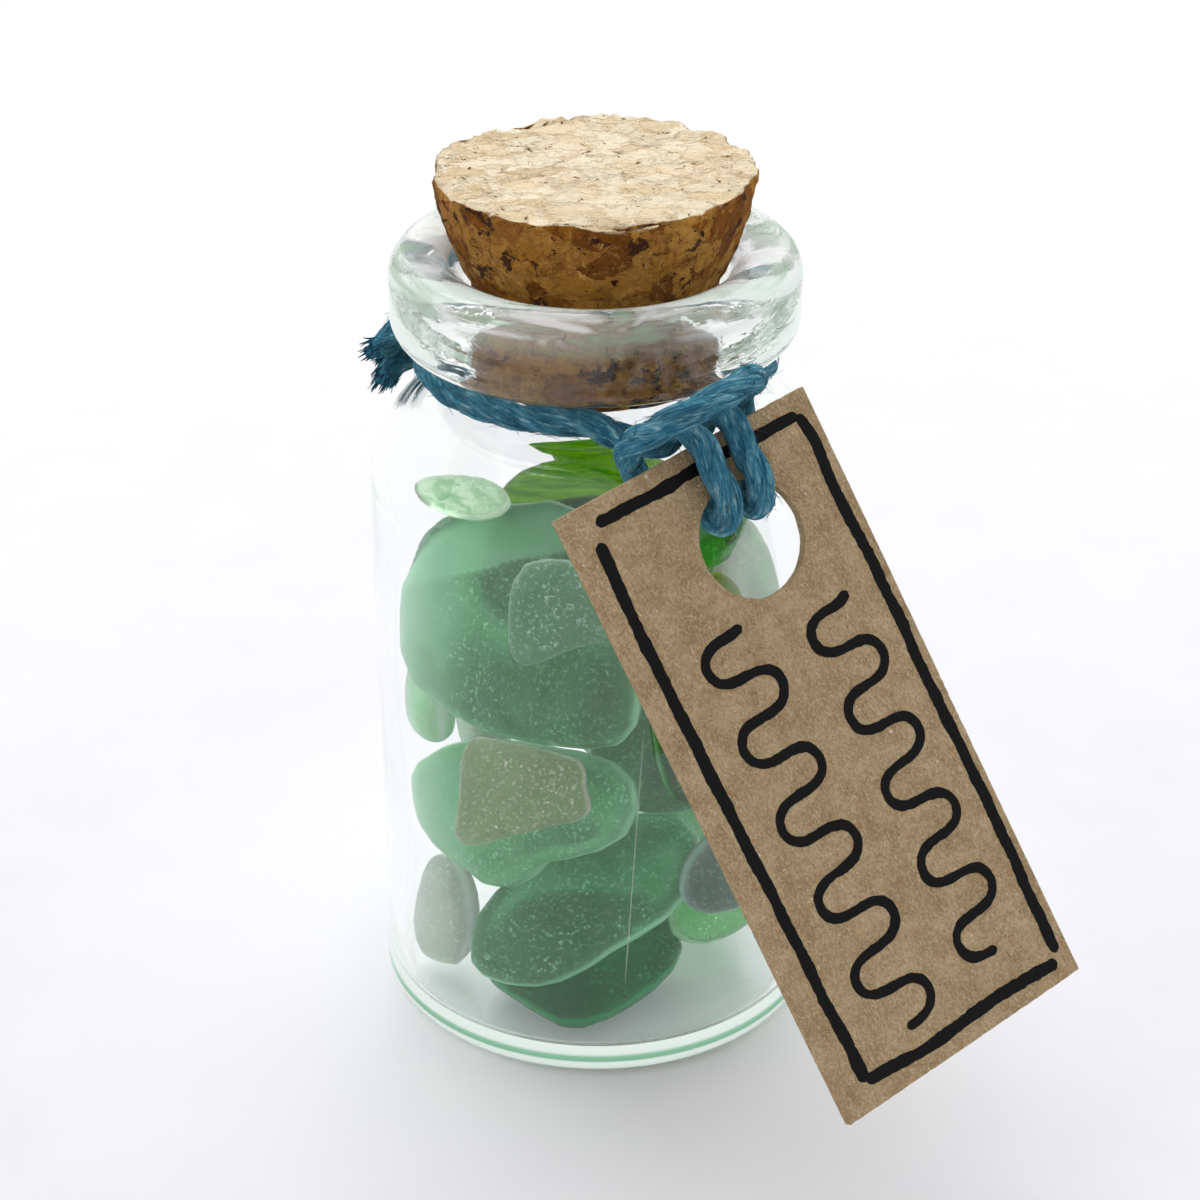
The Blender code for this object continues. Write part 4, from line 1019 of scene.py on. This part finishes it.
def chip_finish(name, deep, pale, through=0.8, roughness=0.34, streaks=0.0):
    """Frosted glass: cloudy and coloured through, with pale rims, partly worn frost and partly painted sheen, fine
    white pits and scuffs.
    """
    look = new_material(name)
    place = look.place()
    rim, mark, painted_side_light = (look.node("Attribute", attribute_name=key).outputs["Fac"] for key in ("rim", "mark", "painted_side_light"))
    pale_tone = srgb(*pale)
    white_tone = srgb(*(min(255, value + more) for value, more in zip(pale, (62, 80, 70))))

    cloud = look.noise(place, 3.2 * MM, detail=4.0, roughness=0.6, distortion=0.6)
    bands = look.noise(place, 0.8 * MM, detail=4.0, distortion=0.8, scale=(0.25, 1.0, 2.8), turn=(0.0, 14.0, 0.0))

    speck = look.noise(place, 0.22 * MM, detail=4.0, roughness=0.7)
    patch = look.noise(place, 1.6 * MM)
    scuffs = look.noise(place, 0.7 * MM, detail=5.0, roughness=0.75, scale=(1.0, 2.2, 1.0), turn=(20.0, 10.0, 35.0))
    dots = look.times(look.ramp(speck, (0.54, 0.0), (0.64, 0.8)), look.ramp(patch, (0.35, 0.35), (0.6, 1.0)))
    scratches = look.ramp(scuffs, (0.61, 0.0), (0.69, 0.6))
    # Pale rims along the chip's side walls: partly worn frost and partly painted sheen
    edge = look.ramp(rim, (0.68, 0.0), (1.0, 0.75))
    worn = look.times(look.larger(dots, scratches, mark, edge), 1.0 - 0.8 * streaks)
    # Painted light: the left of some chips is whitened as if lit from that side
    worn = look.larger(worn, look.times(painted_side_light, 0.8))
    colour = look.layered(
        srgb(*deep), (look.ramp(cloud, (0.3, 0.0), (0.75, 0.7)), pale_tone),
        (look.ramp(bands, (0.42, 0.0), (0.58, streaks)), pale_tone), (look.times(rim, 0.7), pale_tone),
        (worn, white_tone),
    )

    clear = look.math("SUBTRACT", through, look.times(worn, 0.85 * through))
    normal = look.bump(look.math("ADD", speck, look.times(scuffs, 0.5)), 0.022 * MM, 0.6)
    surface = look.principled(
        colour, roughness, normal, IOR=1.22 if roughness < 0.2 else 1.33, Transmission_Weight=clear,
        Subsurface_Weight=0.5, Subsurface_Radius=(0.5, 1.0, 0.6), Subsurface_Scale=1.8 * MM,
        Sheen_Weight=max(0.0, min(0.4, 2.3 * (roughness - 0.12))), Sheen_Roughness=0.25, Sheen_Tint=white_tone,
    )
    return look.done(look.clear_to_shadows(surface, pale_tone, 0.85))


def make_chip(node):
    """A worn chip in the place of a CAD chip: the same plate, with finer edges, dents and pits."""
    shape = bmesh.new()
    shape.from_mesh(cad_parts[node].data)
    bmesh.ops.remove_doubles(shape, verts=shape.verts, dist=0.002 * MM)
    holder = add_object(node + "_holder", as_mesh(node + "_coarse", shape))
    remesh = holder.modifiers.new("fine", "REMESH")
    remesh.mode = "VOXEL"
    remesh.voxel_size = CHIP_VOXEL
    soften = holder.modifiers.new("soften", "SMOOTH")
    soften.factor = 0.5
    soften.iterations = 2
    bpy.context.view_layer.update()
    mesh = bpy.data.meshes.new_from_object(holder.evaluated_get(bpy.context.evaluated_depsgraph_get()))
    bpy.data.objects.remove(holder)
    points = np.array([vert.co for vert in mesh.vertices])
    centre = points.mean(axis=0)
    thin = Vector(np.linalg.eigh(np.cov((points - centre).T))[1][:, 0])
    thin *= -1.0 if thin.y > 0.0 else 1.0
    seed = Vector((len(node) * 1.7, centre[0] * 900.0, centre[2] * 700.0))
    facing = [abs(vert.normal.dot(thin)) for vert in mesh.vertices]
    facet = CHIP_FACETS.get(node)

    def above_crease(place):
        return (place - Vector(facet[0]) * MM).dot(Vector(facet[1]))

    def wear(place, normal):
        dent = noise.noise(place * 260.0 + seed) * 0.14 + noise.noise(place * 700.0 + seed) * 0.05
        shift = normal * (CHIP_GROWTH + dent * MM)
        if facet and normal.dot(thin) > 0.3:
            shift -= thin * max(0.0, above_crease(place)) * facet[2]
        if node == "pale_top_shard":
            leftward = max(0.0, (centre[0] - place.x) / (2.2 * MM))
            shift.z += (centre[2] - place.z) * (1.0 - SHARD_HEIGHT) * (0.6 + 0.9 * leftward) - 0.15 * MM
        return shift

    shift_points(mesh, wear)
    places = [vert.co.copy() for vert in mesh.vertices]
    # The rim mask marks the chip's side walls, pale as partly worn frost and partly painted sheen
    masks = {"rim": [limited((0.8 - value) / 0.6) for value in facing], "painted_side_light": None, "mark": None}
    # Painted highlight: the bevelled face above the crease is painted pale where it faces up to the light
    if facet:
        painted_cap_light = [0.86 * limited(above_crease(place) / (0.15 * MM)) for place in places]
        masks["rim"] = [max(pair) for pair in zip(masks["rim"], painted_cap_light)]
    # Painted side light: whiter towards the left of these chips
    if node in SIDE_LIT_CHIPS:
        masks["painted_side_light"] = [limited((SIDE_LIGHT_START - place.x) / SIDE_LIGHT_WIDTH) for place in places]
    if node in CHIP_MARKS:
        spot, reach = CHIP_MARKS[node]
        masks["mark"] = []
        for place in places:
            ragged = 1.0 + 0.7 * noise.noise(place * 1500.0)
            away = sum(((a - b * MM) / (c * MM)) ** 2 for a, b, c in zip(place, spot, reach))
            masks["mark"].append(limited(2.0 * (ragged - away)))
    for key, values in masks.items():
        attribute = mesh.attributes.new(key, "FLOAT", "POINT")
        if values:
            attribute.data.foreach_set("value", values)
    mesh.shade_smooth()
    finish = chip_finish(node + "_glass", *CHIP_LOOKS[node])
    add_piece(node + "_worn", mesh, finish, "bottle", node)


def make_floor():
    """A pale table that fades to white away from the bottle, for all but the light that it sends back, and is paler
    close round the bottle as painted light that lifts its shadow.
    """
    look = new_material("table_top")
    position = look.node("NewGeometry").outputs["Position"]
    away = look.vector("LENGTH", position)
    grain = look.noise(position, 6.0 * MM, detail=3.0)
    tone = look.ramp(grain, (0.3, (0.8, 0.795, 0.845, 1.0)), (0.7, (0.83, 0.825, 0.87, 1.0)))
    # Painted light: the table is paler close round the bottle, fading out from 14 to 32 mm, lifting its shadow
    tone = look.mix(look.span(away, 14.0 * MM, 32.0 * MM), (0.91, 0.908, 0.945, 1.0), tone)
    far = look.span(away, 30.0 * MM, 110.0 * MM, interpolation_type="SMOOTHSTEP")
    level = look.axes(position)[1]
    behind = look.span(level, -30.0 * MM, 20.0 * MM, 0.55, interpolation_type="SMOOTHSTEP")
    light = look.node("LightPath").outputs
    seen = look.larger(light["Is Camera Ray"], light["Is Glossy Ray"], light["Is Transmission Ray"])
    share = look.times(look.times(far, behind), seen)
    surface = look.over(share, look.diffuse(tone), look.glow((1.0, 1.0, 1.0, 1.0)))
    mesh = bpy.data.meshes.new("table")
    corners = [(x * TABLE_REACH, y * TABLE_REACH, -0.02 * MM) for x, y in ((-1, -1), (1, -1), (1, 1), (-1, 1))]
    mesh.from_pydata(corners, [], [(0, 1, 2, 3)])
    mesh.materials.append(look.done(surface))
    add_object("table", mesh)


def light_the_scene():
    """A white room, dimmer in front of the bottle so that glass and cork keep their shapes, and one softbox."""
    world = bpy.data.worlds.new("studio")
    bpy.context.scene.world = world
    look = Shading(world, "OutputWorld")
    _, depth, level = look.axes(look.node("TexCoord").outputs["Generated"])
    soft = look.times(look.span(level, -0.1, 0.9, 0.5), look.span(depth, -1.0, -0.2, 0.6, 1.03))
    room = look.larger(look.span(depth, -0.75, -0.15, 0.82), look.span(level, 0.35, 0.7))
    light = look.node("LightPath").outputs
    strength = look.mix(look.larger(light["Is Glossy Ray"], light["Is Transmission Ray"]), soft, room)
    strength = look.mix(light["Is Glossy Ray"], strength, look.span(depth, -0.9, -0.3, 0.7))
    strength = look.mix(light["Is Camera Ray"], strength, (1.0, 1.0, 1.0, 1.0))
    look.done(look.node("Background", {"Color": (1.0, 1.0, 1.0, 1.0), "Strength": strength}).outputs[0])
    lamp = bpy.data.lights.new("softbox", "AREA")
    lamp.shape = "RECTANGLE"
    lamp.size, lamp.size_y = LAMP_SIZE
    lamp.energy = LAMP_POWER
    lamp.color = (1.0, 0.995, 0.985)
    box = add_object("softbox", lamp)
    box.location = LAMP_PLACE
    box.rotation_euler = (LAMP_TARGET - box.location).to_track_quat("-Z", "Y").to_euler()


def add_camera():
    """The photograph's camera: its place, the direction it looks in and its angle of view."""
    pitch, yaw, roll = (math.radians(angle) for angle in (CAMERA_PITCH, CAMERA_YAW, CAMERA_ROLL))
    ahead = Vector((math.sin(yaw) * math.cos(pitch), math.cos(yaw) * math.cos(pitch), -math.sin(pitch)))
    level = ahead.cross(Vector((0.0, 0.0, 1.0))).normalized()
    over = level.cross(ahead)
    right = level * math.cos(roll) + over * math.sin(roll)
    up = over * math.cos(roll) - level * math.sin(roll)
    data = bpy.data.cameras.new("camera")
    data.sensor_width = 36.0
    data.lens = LENS
    data.clip_start = 0.01
    camera = add_object("camera", data)
    camera.matrix_world = Matrix.Translation(CAMERA_PLACE) @ Matrix((right, up, -ahead)).transposed().to_4x4()
    bpy.context.scene.camera = camera


def main():
    bpy.context.scene.view_settings.view_transform = "Standard"
    make_bottle()
    make_cork()
    twine = twine_finish()
    make_twine(twine)
    make_fibres(twine)
    make_card()
    make_ink()
    for node in CHIP_LOOKS:
        make_chip(node)
    make_floor()
    light_the_scene()
    add_camera()


main()
